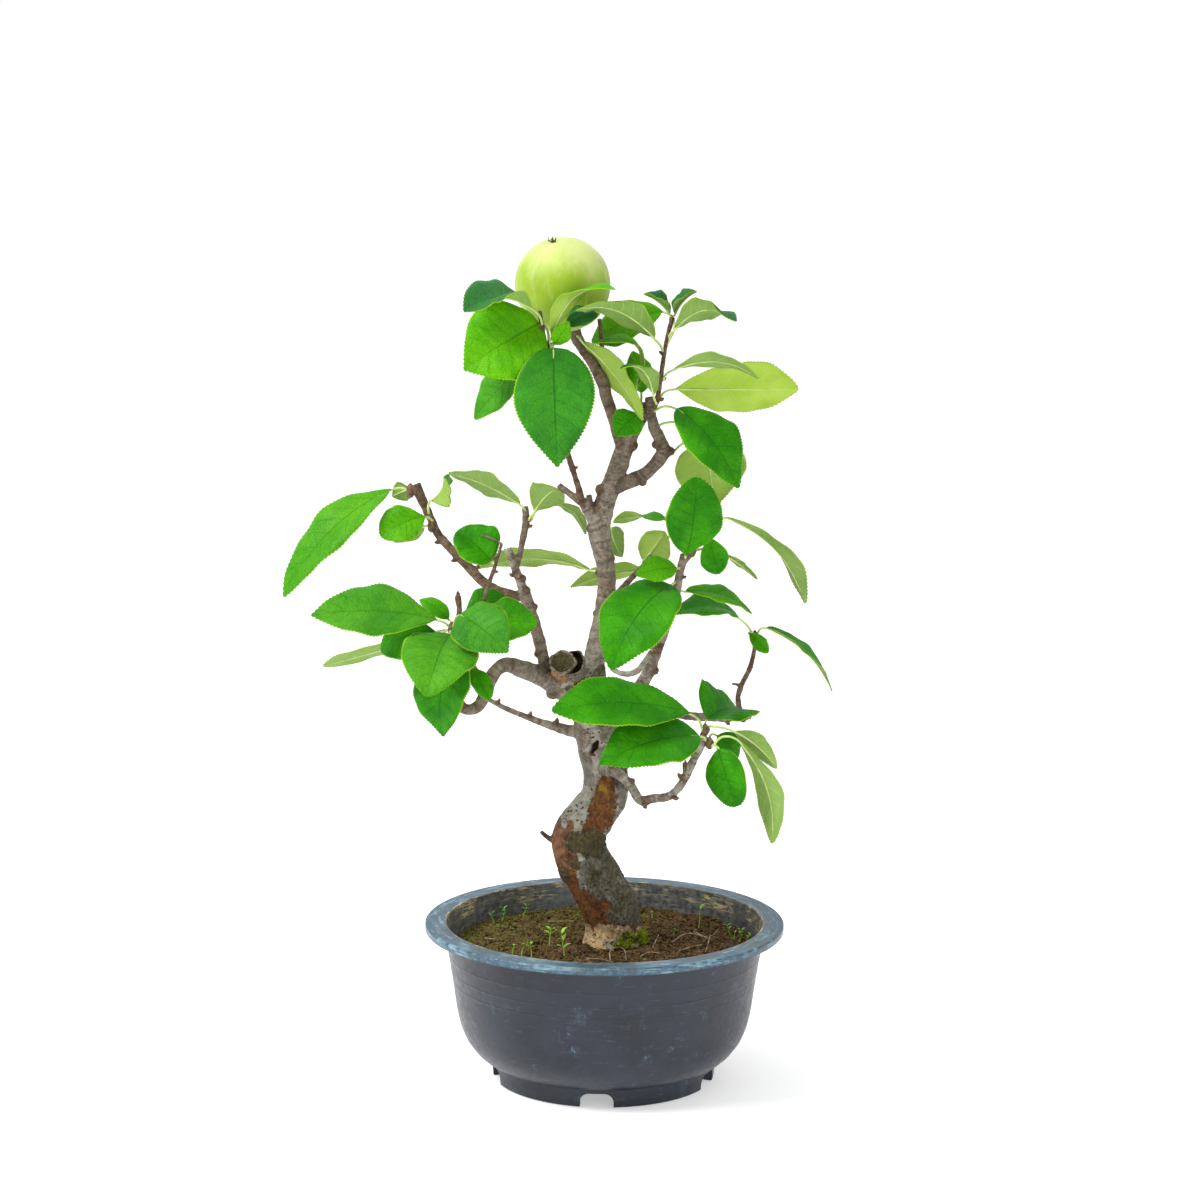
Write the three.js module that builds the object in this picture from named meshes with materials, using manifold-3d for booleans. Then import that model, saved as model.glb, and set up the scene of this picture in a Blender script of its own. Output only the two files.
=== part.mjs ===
// A Chinese quince bonsai with one unripe fruit, in a round plastic training pot.
// Millimetres, +Z up. The pot stands on z = 0, and the front of the tree faces -Y.
import * as THREE from "three";
import { mergeVertices } from "three/addons/utils/BufferGeometryUtils.js";
import Module from "manifold-3d";

const wasm = await Module();
wasm.setup();

// Driving dimensions
const RIM_RADIUS = 120;
const RIM_TOP = 106;
const RIM_THICKNESS = 3;
const RIM_LIP_DEPTH = 5;
const RIM_LIP_WIDTH = 2.4;
const MOUTH_RADIUS = 105.5;
const WALL = 2.8;
const FLOOR_TOP = 17;
const FOOT_RADIUS = 75;
const FOOT_WIDTH = 7;
const FOOT_HEIGHT = 12.5;
const POT_SEGMENTS = 32;
const NOTCH_COUNT = 5;
const NOTCH_WIDTH = 22;
const NOTCH_HEIGHT = 9.5;
const NOTCH_TURN = -3.5;
const DRAIN_RADIUS = 8;
const SIDE_DRAIN_RADIUS = 5;
const SIDE_DRAIN_COUNT = 4;
const SIDE_DRAIN_PLACE = 45;
const SOIL_LEVEL = 87;
const SOIL_RISE_AT_TRUNK = 5;
const GAP = 0.35;
const FRUIT_RADIUS = 31;
const FRUIT_CENTRE = [-30, -5, 529];
const FRUIT_RINGS = 11;
const FRUIT_SEGMENTS = 18;
const LEAF_THICKNESS = 0.75;
const PETIOLE_RADIUS = 0.9;
const LEAF_FOLD = 14;
const TOOTH_DEPTH = 0.09;

// The viewpoint that the front view below is read from
const EYE = new THREE.Vector3(-4, -1800, 583);

const material = (color, roughness) => new THREE.MeshStandardMaterial({ color, roughness, metalness: 0 });
const POT_PLASTIC = material(0x464b5a, 0.5);
const SOIL_BROWN = material(0x3f2f1e, 0.95);
const BARK = material(0x6f6358, 0.85);
const FRUIT_SKIN = material(0xbedc6e, 0.45);
const LEAF_GREEN = material(0x2f9a1c, 0.4);

// Places are written [x, depth, z]: x and z as seen in the front view, on the upright plane
// through the pot's axis, and depth along +Y. A point moves along its line of sight to its depth.
function placed([x, depth, z]) {
  const reach = 1 + depth / -EYE.y;
  return new THREE.Vector3(EYE.x + (x - EYE.x) * reach, depth, EYE.z + (z - EYE.z) * reach);
}

function toSolid(geometry) {
  const bare = geometry.clone();
  bare.deleteAttribute("normal");
  bare.deleteAttribute("uv");
  const merged = mergeVertices(bare, 1e-4);
  return new wasm.Manifold(new wasm.Mesh({
    numProp: 3,
    vertProperties: new Float32Array(merged.attributes.position.array),
    triVerts: new Uint32Array(merged.index.array),
  }));
}

function toGeometry(solid) {
  const mesh = solid.getMesh();
  const geometry = new THREE.BufferGeometry();
  geometry.setAttribute("position", new THREE.BufferAttribute(mesh.vertProperties, 3));
  geometry.setIndex(new THREE.BufferAttribute(mesh.triVerts, 1));
  geometry.computeVertexNormals();
  return geometry;
}

const union = (solids) => solids.reduce((sum, solid) => sum.add(solid));

// Only the largest piece is kept, so that a cut leaves no scraps
function largestPiece(solid) {
  return solid.decompose().sort((a, b) => b.volume() - a.volume())[0];
}

function geometryFromRings(rings) {
  const count = rings[0].length;
  const points = [];
  const index = [];
  for (const ring of rings) for (const p of ring) points.push(p.x, p.y, p.z);
  for (let i = 0; i + 1 < rings.length; i++) {
    for (let k = 0; k < count; k++) {
      const a = i * count + k;
      const b = i * count + ((k + 1) % count);
      index.push(a, b, b + count, a, b + count, a + count);
    }
  }
  const last = (rings.length - 1) * count;
  for (let k = 1; k + 1 < count; k++) {
    index.push(0, k + 1, k);
    index.push(last, last + k, last + k + 1);
  }
  const geometry = new THREE.BufferGeometry();
  geometry.setAttribute("position", new THREE.Float32BufferAttribute(points, 3));
  geometry.setIndex(index);
  return geometry;
}

// A round tube through the points, with its own radius at each one
function taperedTube(points, radii, sides) {
  const rings = [];
  let across = null;
  let before = null;
  points.forEach((point, i) => {
    const next = points[Math.min(i + 1, points.length - 1)];
    const previous = points[Math.max(i - 1, 0)];
    const along = next.clone().sub(previous).normalize();
    if (across === null) {
      const side = Math.abs(along.y) < 0.9 ? new THREE.Vector3(0, 1, 0) : new THREE.Vector3(1, 0, 0);
      across = side.cross(along).normalize();
    } else {
      across.applyQuaternion(new THREE.Quaternion().setFromUnitVectors(before, along));
    }
    before = along;
    const up = along.clone().cross(across);
    const ring = [];
    for (let k = 0; k < sides; k++) {
      const angle = (2 * Math.PI * k) / sides;
      const offset = across.clone().multiplyScalar(Math.cos(angle));
      offset.addScaledVector(up, Math.sin(angle)).multiplyScalar(radii[i]);
      ring.push(point.clone().add(offset));
    }
    rings.push(ring);
  });
  return geometryFromRings(rings);
}

function sidesFor(radius) {
  if (radius > 10) return 12;
  if (radius > 3.9) return 8;
  return radius > 2 ? 6 : 5;
}

// Wood: each row is [x, depth, z, radius], from the foot of a branch to its end
const WOOD = {
  trunk: [
    [5, 0, 56, 24], [5, 0, 70, 22.5], [5.5, -2, 84, 21], [6.5, 0, 100, 19.2], [2, -1, 117, 19.2],
    [-7.5, -2, 133, 18.8], [-15, -3, 147, 18.3], [-19, -4, 158, 17.4], [-16.5, -4, 167, 17.2],
    [-9, -3, 178, 16.4], [-2, -2, 188, 15.6], [0.5, -1, 198, 15.4], [0, 0, 210, 15],
    [-4, 0, 223, 14.6], [-8, 0, 239, 13.6], [-10, 0, 253, 12], [-9, 0, 266, 9.6], [-8, 0, 280, 7.4],
    [-6, 0, 294, 6.5], [-3, 0, 309, 6.2], [0, 0, 329, 6], [-1, 0, 346, 6.5], [-4, 0, 359, 6.9],
    [-6, 0, 370, 7.6], [-3, 0, 382, 7.2], [1, 0, 395, 6.6], [7, 0, 410, 6.2], [11, 0, 423, 6],
    [16, -2, 434, 5.2], [22, -3, 443, 4.6], [27, -3, 452, 4.8],
  ],
  leader: [
    [11, 0, 422, 5.4], [4, -1, 442, 4.1], [-1, -2, 455, 3.9], [-3, -3, 465, 4.5], [-9, -4, 477, 3.8],
    [-16, -5, 487, 3.7], [-21, -6, 495, 4.2], [-23, -6, 505, 3.4],
  ],
  leader_twig: [[-7, -4, 472, 2], [-4, -3, 487, 1.6], [-5, -2, 497, 1.4], [-6, -2, 507, 1.5]],
  crown_right: [
    [6, 0, 398, 5.2], [22, -4, 404, 4.5], [32, -7, 413, 4.3], [37, -8, 421, 4.8], [34, -9, 429, 4.3],
    [30, -10, 437, 3.8], [28, -12, 447, 3.2], [27, -14, 456, 3.4],
  ],
  crown_twig: [
    [28, -12, 444, 2.4], [32, -15, 454, 2.1], [34, -17, 467, 2], [36, -19, 482, 1.9],
    [38, -21, 495, 1.6], [41, -22, 506, 1.7],
  ],
  fork_left: [[-4, 0, 366, 4.8], [-11, -3, 379, 4], [-16, -6, 388, 3.6]],
  fork_stub: [[-15, -5, 386, 2.9], [-24, -8, 392, 2.4], [-32, -10, 398, 2.1]],
  fork_twig: [
    [-16, -6, 386, 2.6], [-20, -12, 400, 2], [-26, -18, 418, 1.9], [-32, -25, 441, 1.8],
    [-37, -32, 467, 1.8], [-41, -36, 488, 1.9], [-45, -38, 512, 1.6],
  ],
  fork_short_stub: [[-10, -2, 378, 2.2], [-12, -4, 392, 1.9]],
  limb_left: [
    [-8, 0, 244, 10], [-20, -2, 258, 9], [-33, -8, 266, 7.6], [-44, -14, 272, 6.7], [-56, -20, 276, 6],
    [-66, -26, 279, 5.2], [-72, -30, 276, 4.7], [-77, -34, 268, 4.4], [-80, -37, 259, 4.1],
    [-84, -39, 251, 4], [-90, -41, 248, 3.6], [-99, -42, 250, 3],
  ],
  limb_left_twig: [
    [-82, -37, 258, 3], [-84, -38, 269, 2.8], [-89, -40, 278, 2.5], [-95, -43, 290, 2.2],
    [-102, -46, 303, 2.4],
  ],
  thin_twig: [
    [-103, -47, 301, 1.8], [-92, -42, 311, 1.6], [-82, -38, 318, 1.5], [-79, -34, 329, 1.4],
    [-74, -30, 343, 1.3], [-69, -25, 360, 1.1],
  ],
  thin_twig_end: [[-69, -25, 359, 0.9], [-76, -25, 363, 0.8], [-83, -24, 365, 0.9]],
  bud_twig: [[-102, -45, 301, 1.5], [-98, -44, 309, 2], [-97, -43, 315, 1.9], [-98, -42, 324, 2.2]],
  cut_stump: [[-18, -2, 257, 10], [-25, -9, 269, 9.2], [-29, -20, 280, 8.6]],
  left_rise: [[-39, -11, 270, 4.6], [-42, -9, 286, 4], [-46, -5, 301, 4], [-50, 0, 315, 3.8], [-54, 4, 326, 4.3]],
  left_reach: [
    [-54, 4, 325, 3.8], [-62, 7, 325, 3.4], [-74, 11, 329, 3.3], [-83, 14, 335, 3.3], [-93, 18, 346, 3.2],
    [-103, 21, 356, 3], [-111, 24, 365, 2.8], [-116, 26, 376, 2.8], [-121, 28, 387, 3.1],
    [-126, 30, 398, 3.9],
  ],
  left_cut_stub: [[-54, 4, 324, 3.2], [-57, 4, 335, 2.9], [-61, 3, 345, 2.8], [-65, 2, 356, 2.7]],
  left_fork_twig: [[-60, 3, 341, 2.2], [-57, 4, 354, 2.1], [-55, 6, 364, 2.3], [-53, 8, 375, 2.7], [-54, 8, 384, 2.1]],
  thin_left: [
    [-12, 0, 233, 5], [-26, 4, 235, 3.9], [-43, 8, 240, 2.3], [-56, 10, 245, 2], [-68, 12, 250, 1.8],
    [-79, 13, 256, 1.5],
  ],
  riser: [
    [-2, 0, 232, 7], [14, -1, 248, 5.2], [21, -4, 262, 4.4], [28, -6, 274, 4.3], [33, -8, 289, 4],
    [38, -9, 302, 3.7], [43, -10, 319, 3.4], [46, -11, 329, 3], [48, -12, 341, 2.8], [51, -13, 353, 2.7],
  ],
  riser_knob: [[48, -12, 345, 2.4], [56, -10, 355, 2.2]],
  riser_side_twig: [[32, -8, 290, 2.4], [26, -12, 282, 2.1], [20, -14, 274, 2.1], [10, -13, 273, 1.9], [3, -11, 277, 1.7]],
  right_branch: [
    [-2, 0, 241, 6], [16, 8, 246, 3.6], [36, 16, 248, 3], [55, 25, 245, 3], [71, 33, 244, 2.8],
    [85, 40, 244, 2.8], [96, 44, 246, 3.2],
  ],
  right_twig: [
    [90, 42, 245, 2.2], [87, 44, 257, 2], [90, 45, 267, 1.8], [95, 46, 277, 1.7], [98, 46, 290, 1.5],
    [98, 46, 300, 1.6],
  ],
  right_twig_stub: [[89, 45, 266, 1], [83, 45, 267, 0.9]],
  low_right: [
    [-6, -5, 211, 5], [0, -15, 210, 4.2], [7, -18, 207, 3.8], [13, -20, 202, 3.3], [18, -21, 196, 3.1], [23, -25, 187, 3.2],
    [32, -28, 189, 2.9], [41, -32, 190, 2.9], [48, -35, 195, 2.8], [53, -37, 203, 2.7],
    [57, -39, 212, 2.7], [61, -41, 221, 2.7], [66, -42, 231, 3.2],
  ],
  low_right_spur: [[53, -37, 201, 1.3], [52, -38, 213, 1.1]],
  trunk_spur: [[-28, -3, 157, 2.2], [-37, -4, 161, 1.7], [-43, -5, 166, 1.4]],
  back_twig: [[-2, 0, 314, 3.4], [9, 14, 329, 2.3], [21, 28, 342, 2], [30, 39, 352, 1.8]],
};

// The wood, or with a clearance the space that its neighbours keep out of
function woodSolid(clearance) {
  const tubes = Object.values(WOOD).map((rows) => {
    const points = rows.map(placed);
    const end = points.at(-1).clone().sub(points.at(-2)).setLength(clearance);
    points.at(-1).add(end);
    const radii = rows.map((row) => row[3] + clearance);
    return toSolid(taperedTube(points, radii, sidesFor(rows[0][3])));
  });
  return union(tubes);
}

// Leaves: [where the petiole leaves the bud, base of the blade, tip, bow of the midrib, full width,
// turn of the face about the midrib, fold]. A turn of 0 shows the upper face to the viewer.
const LEAVES = {
  leaf_beside_fruit: [[[-43, -38.6, 503], [-50, -45, 514], [-94, -54, 511], 8, 42, 92, 28]],
  spray_under_fruit: [
    [[-39, -38, 490], [-45, -35, 504], [-94, -47, 473], 5, 57, 15],
    [[-38, -39, 488], [-36, -47, 488], [-33, -55, 410], 6, 52, 0],
    [[-39, -37, 488], [-51, -29, 477], [-87, -30, 441], 5, 28, 40],
    [[-38, -39, 490], [-37, -43, 496], [4, -64, 526], 13, 23, -118, 18],
    [[-37, -37, 490], [-27, -37, 502], [-7, -30, 510], 4, 17, -40],
    [[-37, -39, 489], [-35, -42, 490], [-26, -47, 505], 2, 12, 10],
  ],
  leaf_pair_top: [
    [[40, -22, 506], [40, -23, 511], [23, -26, 523], 2, 20, 77, 40],
    [[42, -22, 506], [42.5, -23, 511], [57, -26, 525], 2, 20, -77, 40],
  ],
  leaf_top_drooping: [[[39, -21, 495], [43, -25, 501], [83, -36, 506], 11, 32, -114]],
  leaf_over_leader: [[[36, -19, 485], [30, -26, 495], [-22, -60, 512], 10, 32, 116]],
  leaf_upper_right_arched: [[[36, -18, 468], [43, -24, 475], [98, -36, 469], 9, 20, -116]],
  leaf_upper_right_pale: [[[34, -15, 456], [44, -6, 462], [124, 12, 462], 0, 44, -142, 16]],
  leaf_upper_right_dark: [[[30, -14, 447], [45, -27, 449], [86, -46, 397], 9, 40, -35]],
  leaf_right_hanging_back: [[[37, -7, 415], [65, 12, 429], [71, 24, 385], 6, 48, 172, 6]],
  leaf_right_tucked: [[[31, -10, 436], [43, -12, 441], [62, -14, 430], 4, 16, -80]],
  leaf_twig_curled: [[[32, -16, 452], [30, -31, 458], [8, -52, 475], 9, 20, 112]],
  leaf_leader_trailing: [[[-21, -8, 496], [-16, -14, 492], [23, -22, 441], 4, 32, -116]],
  leaf_behind_twig: [[[37, -19, 488], [35, 4, 512], [-11, 18, 492], 5, 34, 40]],
  spray_trunk_top: [
    [[21, -8, 452], [19, -14, 463], [-10, -27, 491], 19, 20, 84],
    [[21, -6, 452], [22, -3, 459], [16, 4, 486], 4, 18, 20],
    [[21, -8, 450], [20, -10, 445], [5, -16, 431], 3, 22, 20],
  ],
  spray_left_tip: [
    [[-128, 30, 393], [-142, 28, 395], [-213, 8, 323], 12, 38, 48],
    [[-128, 32, 394], [-130, 35, 395], [-141, 40, 390], 2, 14, 170],
  ],
  spray_left_bright: [
    [[-114, 24, 371], [-119, 20, 377], [-149, 10, 364], 4, 29, 30],
    [[-114, 25, 370], [-120, 25, 371], [-140, 28, 360], 2, 15, 150],
  ],
  leaf_left_folded: [[[-117, 24, 379], [-115, 19, 387], [-107, 12, 403], 3, 32, 104, 34]],
  spray_left_fork: [
    [[-53, 8, 376], [-57, 6, 386], [-104, 2, 406], 3, 28, 118],
    [[-52, 7, 375], [-48, 2, 381], [-33, -8, 396], 4, 26, -152],
    [[-52, 9, 374], [-38, 15, 386], [-14, 30, 366], 7, 18, -110],
  ],
  leaf_trunk_back_left: [[[-3, 2, 341], [-11, 10, 343], [-85, 36, 343], 8, 32, 112]],
  leaf_thin_twig: [[[-73, -29, 345], [-76, -27, 348], [-99, -20, 367], 3, 36, 30, 26]],
  spray_low_left: [
    [[-103, -47, 303], [-112, -51, 309], [-195, -64, 311], 6, 45, 42],
    [[-102, -45, 305], [-104, -42, 309], [-123, -36, 322], 3, 13, 30],
    [[-104, -45, 302], [-113, -42, 301], [-149, -38, 288], 6, 32, 35],
    [[-103, -48, 301], [-103, -52, 299], [-119, -94, 257], 8, 49, 14],
    [[-102, -46, 302], [-102, -43, 286], [-108, -48, 230], 9, 42, 30],
    [[-104, -44, 302], [-117, -34, 296], [-187, -8, 277], 1, 18, 120],
    [[-101, -48, 304], [-97, -55, 312], [-65, -81, 287], 7, 38, -15],
    [[-101, -45, 305], [-90, -44, 308], [-46, -46, 307], 1, 34, -36],
    [[-101, -44, 305], [-93, -34, 315], [-66, -24, 323], 4, 22, -40],
  ],
  leaf_low_left_small: [[[-91, -42, 281], [-90, -49, 277], [-77, -58, 255], 3, 14, -20]],
  leaf_riser_tip: [[[51, -13, 350], [52, -17, 352], [58, -32, 404], 6, 40, 18]],
  leaf_riser_large: [[[47, -11, 335], [42, -17, 333], [3, -48, 276], 12, 52, 30]],
  leaf_riser_small: [[[49, -12, 344], [46, -16, 344], [19, -24, 339], 3, 20, 32]],
  spray_riser_fork: [
    [[56, -10, 355], [67, -8, 365], [73, -8, 340], 4, 19, 0],
    [[56, -9, 355], [77, 4, 354], [99, 14, 337], 1, 10, -112],
    [[57, -9, 356], [78, 6, 378], [131, 20, 321], 10, 25, -98, 30],
  ],
  leaf_riser_back: [[[46, -10, 331], [52, -3, 329], [96, 10, 314], 6, 22, -64]],
  spray_right_twig: [
    [[98, 45, 299], [87, 42, 312], [44, 24, 313], 8, 30, 62],
    [[98, 44, 300], [94, 40, 301], [107, 34, 288], 2, 10, -10],
    [[99, 46, 300], [106, 47, 305], [150, 56, 262], 7, 24, -82, 20],
  ],
  spray_back_twig: [
    [[31, 40, 353], [39, 46, 376], [4, 54, 374], 4, 16, 62],
    [[30, 39, 353], [24, 38, 348], [38, 32, 368], 2, 24, 170],
    [[29, 40, 351], [24, 44, 343], [-24, 46, 331], 3, 24, 122],
  ],
  leaf_trunk_back: [[[-5, 3, 369], [2, 15, 370], [10, 24, 351], 4, 18, 160]],
  spray_low_right_upper: [
    [[65, -43, 235], [56, -47, 247], [-36, -74, 248], 9, 44, 42],
    [[67, -41, 235], [67, -36, 243], [87, 6, 250], 4, 50, -40, 34],
    [[66, -41, 237], [86, -46, 235], [114, -54, 210], 4, 17, -142],
  ],
  spray_low_right_lower: [
    [[67, -45, 228], [62, -52, 232], [-4, -86, 212], 8, 46, 38],
    [[69, -45, 225], [87, -53, 230], [112, -68, 159], 12, 23, -136, 12],
    [[69, -46, 225], [75, -50, 223], [88, -62, 184], 5, 26, 10],
    [[69, -42, 228], [74, -30, 232], [88, -24, 217], 3, 20, -20],
  ],
};

// The green foot round the twig that joins the petioles of a spray: [x, depth, z, radius]
const FEET = {
  spray_under_fruit: [-39, -38, 489, 4.8],
  leaf_pair_top: [41, -22, 507, 3],
  spray_trunk_top: [21, -7, 451, 3.4],
  spray_left_tip: [-129, 31, 394, 4.6],
  spray_left_bright: [-115, 24, 371, 4.6],
  spray_left_fork: [-53, 8, 376, 4.8],
  spray_low_left: [-102, -46, 303, 4.4],
  spray_riser_fork: [56, -10, 355, 3.6],
  spray_right_twig: [98, 46, 300, 3.2],
  spray_back_twig: [30, 39, 352, 3.4],
  spray_low_right_upper: [66, -42, 235, 4.2],
  spray_low_right_lower: [69, -45, 227, 4],
};

// How wide the blade is along its length, as a share of its full width
const bladeOutline = (u) => Math.pow(Math.sin(Math.PI * Math.pow(u, 0.82)), 0.78);

function stationsFor(length) {
  if (length > 55) return 10;
  return length > 32 ? 8 : 5;
}

// The middle line of a leaf: its petiole in two steps, then the blade's midrib
function leafStations(root, base, tip, bow, width, face) {
  const control = base.clone().add(tip).multiplyScalar(0.5).addScaledVector(face, 2 * bow);
  const midrib = new THREE.QuadraticBezierCurve3(base, control, tip);
  const bend = base.clone().addScaledVector(midrib.getTangent(0), -0.45 * root.distanceTo(base));
  const petiole = new THREE.QuadraticBezierCurve3(root, bend, base);
  const stalk = { half: PETIOLE_RADIUS, depth: 2 * PETIOLE_RADIUS, fold: 0 };
  const stations = [0, 0.5].map((u) => ({ ...stalk, point: petiole.getPoint(u), along: petiole.getTangent(u) }));
  const steps = stationsFor(base.distanceTo(tip));
  for (let i = 0; i <= steps; i++) {
    const u = i / steps;
    const tooth = i % 2 === 0 ? 1 - TOOTH_DEPTH : 1;
    stations.push({
      point: midrib.getPoint(u),
      along: midrib.getTangent(u),
      half: Math.max((width / 2) * bladeOutline(u) * tooth, PETIOLE_RADIUS),
      depth: LEAF_THICKNESS,
      fold: 1,
    });
  }
  return stations;
}

// A petiole and its blade, folded a little along the midrib, with toothed edges
function leafSolid([root, base, tip, bow, width, turn, fold = LEAF_FOLD]) {
  const [from, start, end] = [root, base, tip].map(placed);
  const chord = end.clone().sub(start).normalize();
  const toEye = EYE.clone().sub(start).normalize();
  const facing = toEye.addScaledVector(chord, -toEye.dot(chord)).normalize();
  const face = facing.applyAxisAngle(chord, THREE.MathUtils.degToRad(turn));
  const rings = leafStations(from, start, end, bow, width, face).map((station) => {
    const { point, along, half, depth } = station;
    const lift = THREE.MathUtils.degToRad(fold * station.fold);
    const up = face.clone().addScaledVector(along, -face.dot(along)).normalize();
    const across = along.clone().cross(up);
    const edge = (side) => point.clone()
      .addScaledVector(across, side * half * Math.cos(lift))
      .addScaledVector(up, half * Math.sin(lift));
    const top = [edge(-1), point, edge(1)];
    return [...top, ...top.map((p) => p.clone().addScaledVector(up, -depth)).reverse()];
  });
  return toSolid(bandedGeometry(rings));
}

// Rings of six points: left, middle and right above, and right, middle and left below
function bandedGeometry(rings) {
  const points = rings.flat().flatMap((p) => [p.x, p.y, p.z]);
  const index = [];
  const quad = (a, b, c, d) => index.push(a, b, c, a, c, d);
  for (let i = 0; i + 1 < rings.length; i++) {
    const [l, m, r, rb, mb, lb] = [0, 1, 2, 3, 4, 5].map((k) => i * 6 + k);
    quad(m, m + 6, l + 6, l);
    quad(m, r, r + 6, m + 6);
    quad(mb, lb, lb + 6, mb + 6);
    quad(mb, mb + 6, rb + 6, rb);
    quad(r, rb, rb + 6, r + 6);
    quad(lb, l, l + 6, lb + 6);
  }
  const end = (rings.length - 1) * 6;
  quad(5, 4, 1, 0);
  quad(4, 3, 2, 1);
  quad(end, end + 1, end + 4, end + 5);
  quad(end + 1, end + 2, end + 3, end + 4);
  const geometry = new THREE.BufferGeometry();
  geometry.setAttribute("position", new THREE.Float32BufferAttribute(points, 3));
  geometry.setIndex(index);
  return geometry;
}

// All the leaves of one bud, joined there by the green foot that they share
function spraySolid(name, rows) {
  const leaves = rows.map(leafSolid);
  if (rows.length === 1) return leaves[0];
  const [x, depth, z, radius] = FEET[name];
  const foot = new THREE.IcosahedronGeometry(radius, 0).translate(...placed([x, depth, z]));
  return union([toSolid(foot), ...leaves]);
}

function latheSolid(profile, segments) {
  const geometry = new THREE.LatheGeometry(profile.map(([r, z]) => new THREE.Vector2(r, z)), segments);
  return toSolid(geometry.rotateX(Math.PI / 2));
}

// Outside of the bowl above the foot, from its bottom edge to the rim: [radius, height]
const BOWL = [
  [77, 12.5], [83, 16.2], [89.5, 23], [94.5, 31.5], [98, 43], [101.2, 64], [104, 82], [107.4, 100],
];

const innerWall = BOWL.slice(2).map(([r, z]) => [r - WALL, z]);

function potSolid() {
  const profile = [
    [0, FOOT_HEIGHT], [FOOT_RADIUS - FOOT_WIDTH, FOOT_HEIGHT], [FOOT_RADIUS - FOOT_WIDTH, 0],
    [FOOT_RADIUS - 0.6, 0], [FOOT_RADIUS + 0.4, FOOT_HEIGHT - 1.5],
    ...BOWL, [RIM_RADIUS - RIM_LIP_WIDTH, RIM_TOP - RIM_THICKNESS],
    [RIM_RADIUS - RIM_LIP_WIDTH, RIM_TOP - RIM_LIP_DEPTH], [RIM_RADIUS, RIM_TOP - RIM_LIP_DEPTH],
    [RIM_RADIUS, RIM_TOP - 1], [RIM_RADIUS - 1.2, RIM_TOP], [MOUTH_RADIUS + 1, RIM_TOP],
    [MOUTH_RADIUS, RIM_TOP - 1],
    ...innerWall.toReversed(), [83, FLOOR_TOP], [0, FLOOR_TOP],
  ];
  let pot = latheSolid(profile, POT_SEGMENTS);
  for (let i = 0; i < NOTCH_COUNT; i++) {
    const angle = NOTCH_TURN + (360 / NOTCH_COUNT) * i;
    pot = pot.subtract(notchSolid(THREE.MathUtils.degToRad(angle)));
  }
  pot = pot.subtract(drainSolid(0, 0, DRAIN_RADIUS));
  for (let i = 0; i < SIDE_DRAIN_COUNT; i++) {
    const angle = (2 * Math.PI * (i + 0.5)) / SIDE_DRAIN_COUNT;
    const [x, y] = [Math.cos(angle), Math.sin(angle)].map((v) => v * SIDE_DRAIN_PLACE);
    pot = pot.subtract(drainSolid(x, y, SIDE_DRAIN_RADIUS));
  }
  return pot;
}

// An arch cut out of the foot ring, the first one at the front
function notchSolid(angle) {
  const half = NOTCH_WIDTH / 2;
  const arch = new THREE.Shape();
  arch.moveTo(-half, -2);
  arch.lineTo(half, -2);
  arch.lineTo(half - 1.5, NOTCH_HEIGHT - 5);
  arch.quadraticCurveTo(half - 2.5, NOTCH_HEIGHT, half - 8, NOTCH_HEIGHT);
  arch.lineTo(8 - half, NOTCH_HEIGHT);
  arch.quadraticCurveTo(2.5 - half, NOTCH_HEIGHT, 1.5 - half, NOTCH_HEIGHT - 5);
  const depth = 2 * FOOT_WIDTH;
  const block = new THREE.ExtrudeGeometry(arch, { depth, bevelEnabled: false, curveSegments: 3 });
  block.rotateX(Math.PI / 2).translate(0, FOOT_WIDTH - FOOT_RADIUS + FOOT_WIDTH / 2, 0).rotateZ(angle);
  return toSolid(block);
}

function drainSolid(x, y, radius) {
  const hole = new THREE.CylinderGeometry(radius, radius, FLOOR_TOP, 10);
  return toSolid(hole.rotateX(Math.PI / 2).translate(x, y, FLOOR_TOP - 2));
}

// Soil that fills the pot, higher round the trunk and a little uneven
function soilSolid() {
  const wallRadius = (z) => {
    const above = innerWall.findIndex(([, height]) => height >= z);
    const [[r0, z0], [r1, z1]] = [innerWall[above - 1], innerWall[above]];
    return r0 + ((r1 - r0) * (z - z0)) / (z1 - z0);
  };
  const edge = wallRadius(SOIL_LEVEL) - GAP * 1.5;
  const side = innerWall.filter(([, z]) => z < SOIL_LEVEL).map(([r, z]) => [r - GAP * 1.5, z]);
  const top = [0.97, 0.8, 0.58, 0.36, 0].map((share) => {
    const rise = SOIL_RISE_AT_TRUNK * Math.pow(1 - share, 1.5);
    return [edge * share, SOIL_LEVEL + 0.6 + rise];
  });
  const profile = [[0, FLOOR_TOP + GAP], [82, FLOOR_TOP + GAP], ...side, [edge, SOIL_LEVEL], ...top];
  const geometry = new THREE.LatheGeometry(profile.map(([r, z]) => new THREE.Vector2(r, z)), POT_SEGMENTS);
  geometry.rotateX(Math.PI / 2);
  const position = geometry.attributes.position;
  for (let i = 0; i < position.count; i++) {
    const [x, y, z] = [position.getX(i), position.getY(i), position.getZ(i)];
    if (z < SOIL_LEVEL + 0.3) continue;
    position.setZ(i, z + 0.9 * Math.sin(x / 9) * Math.cos(y / 11) * Math.min(1, Math.hypot(x, y) / 30));
  }
  return toSolid(geometry);
}

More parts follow.
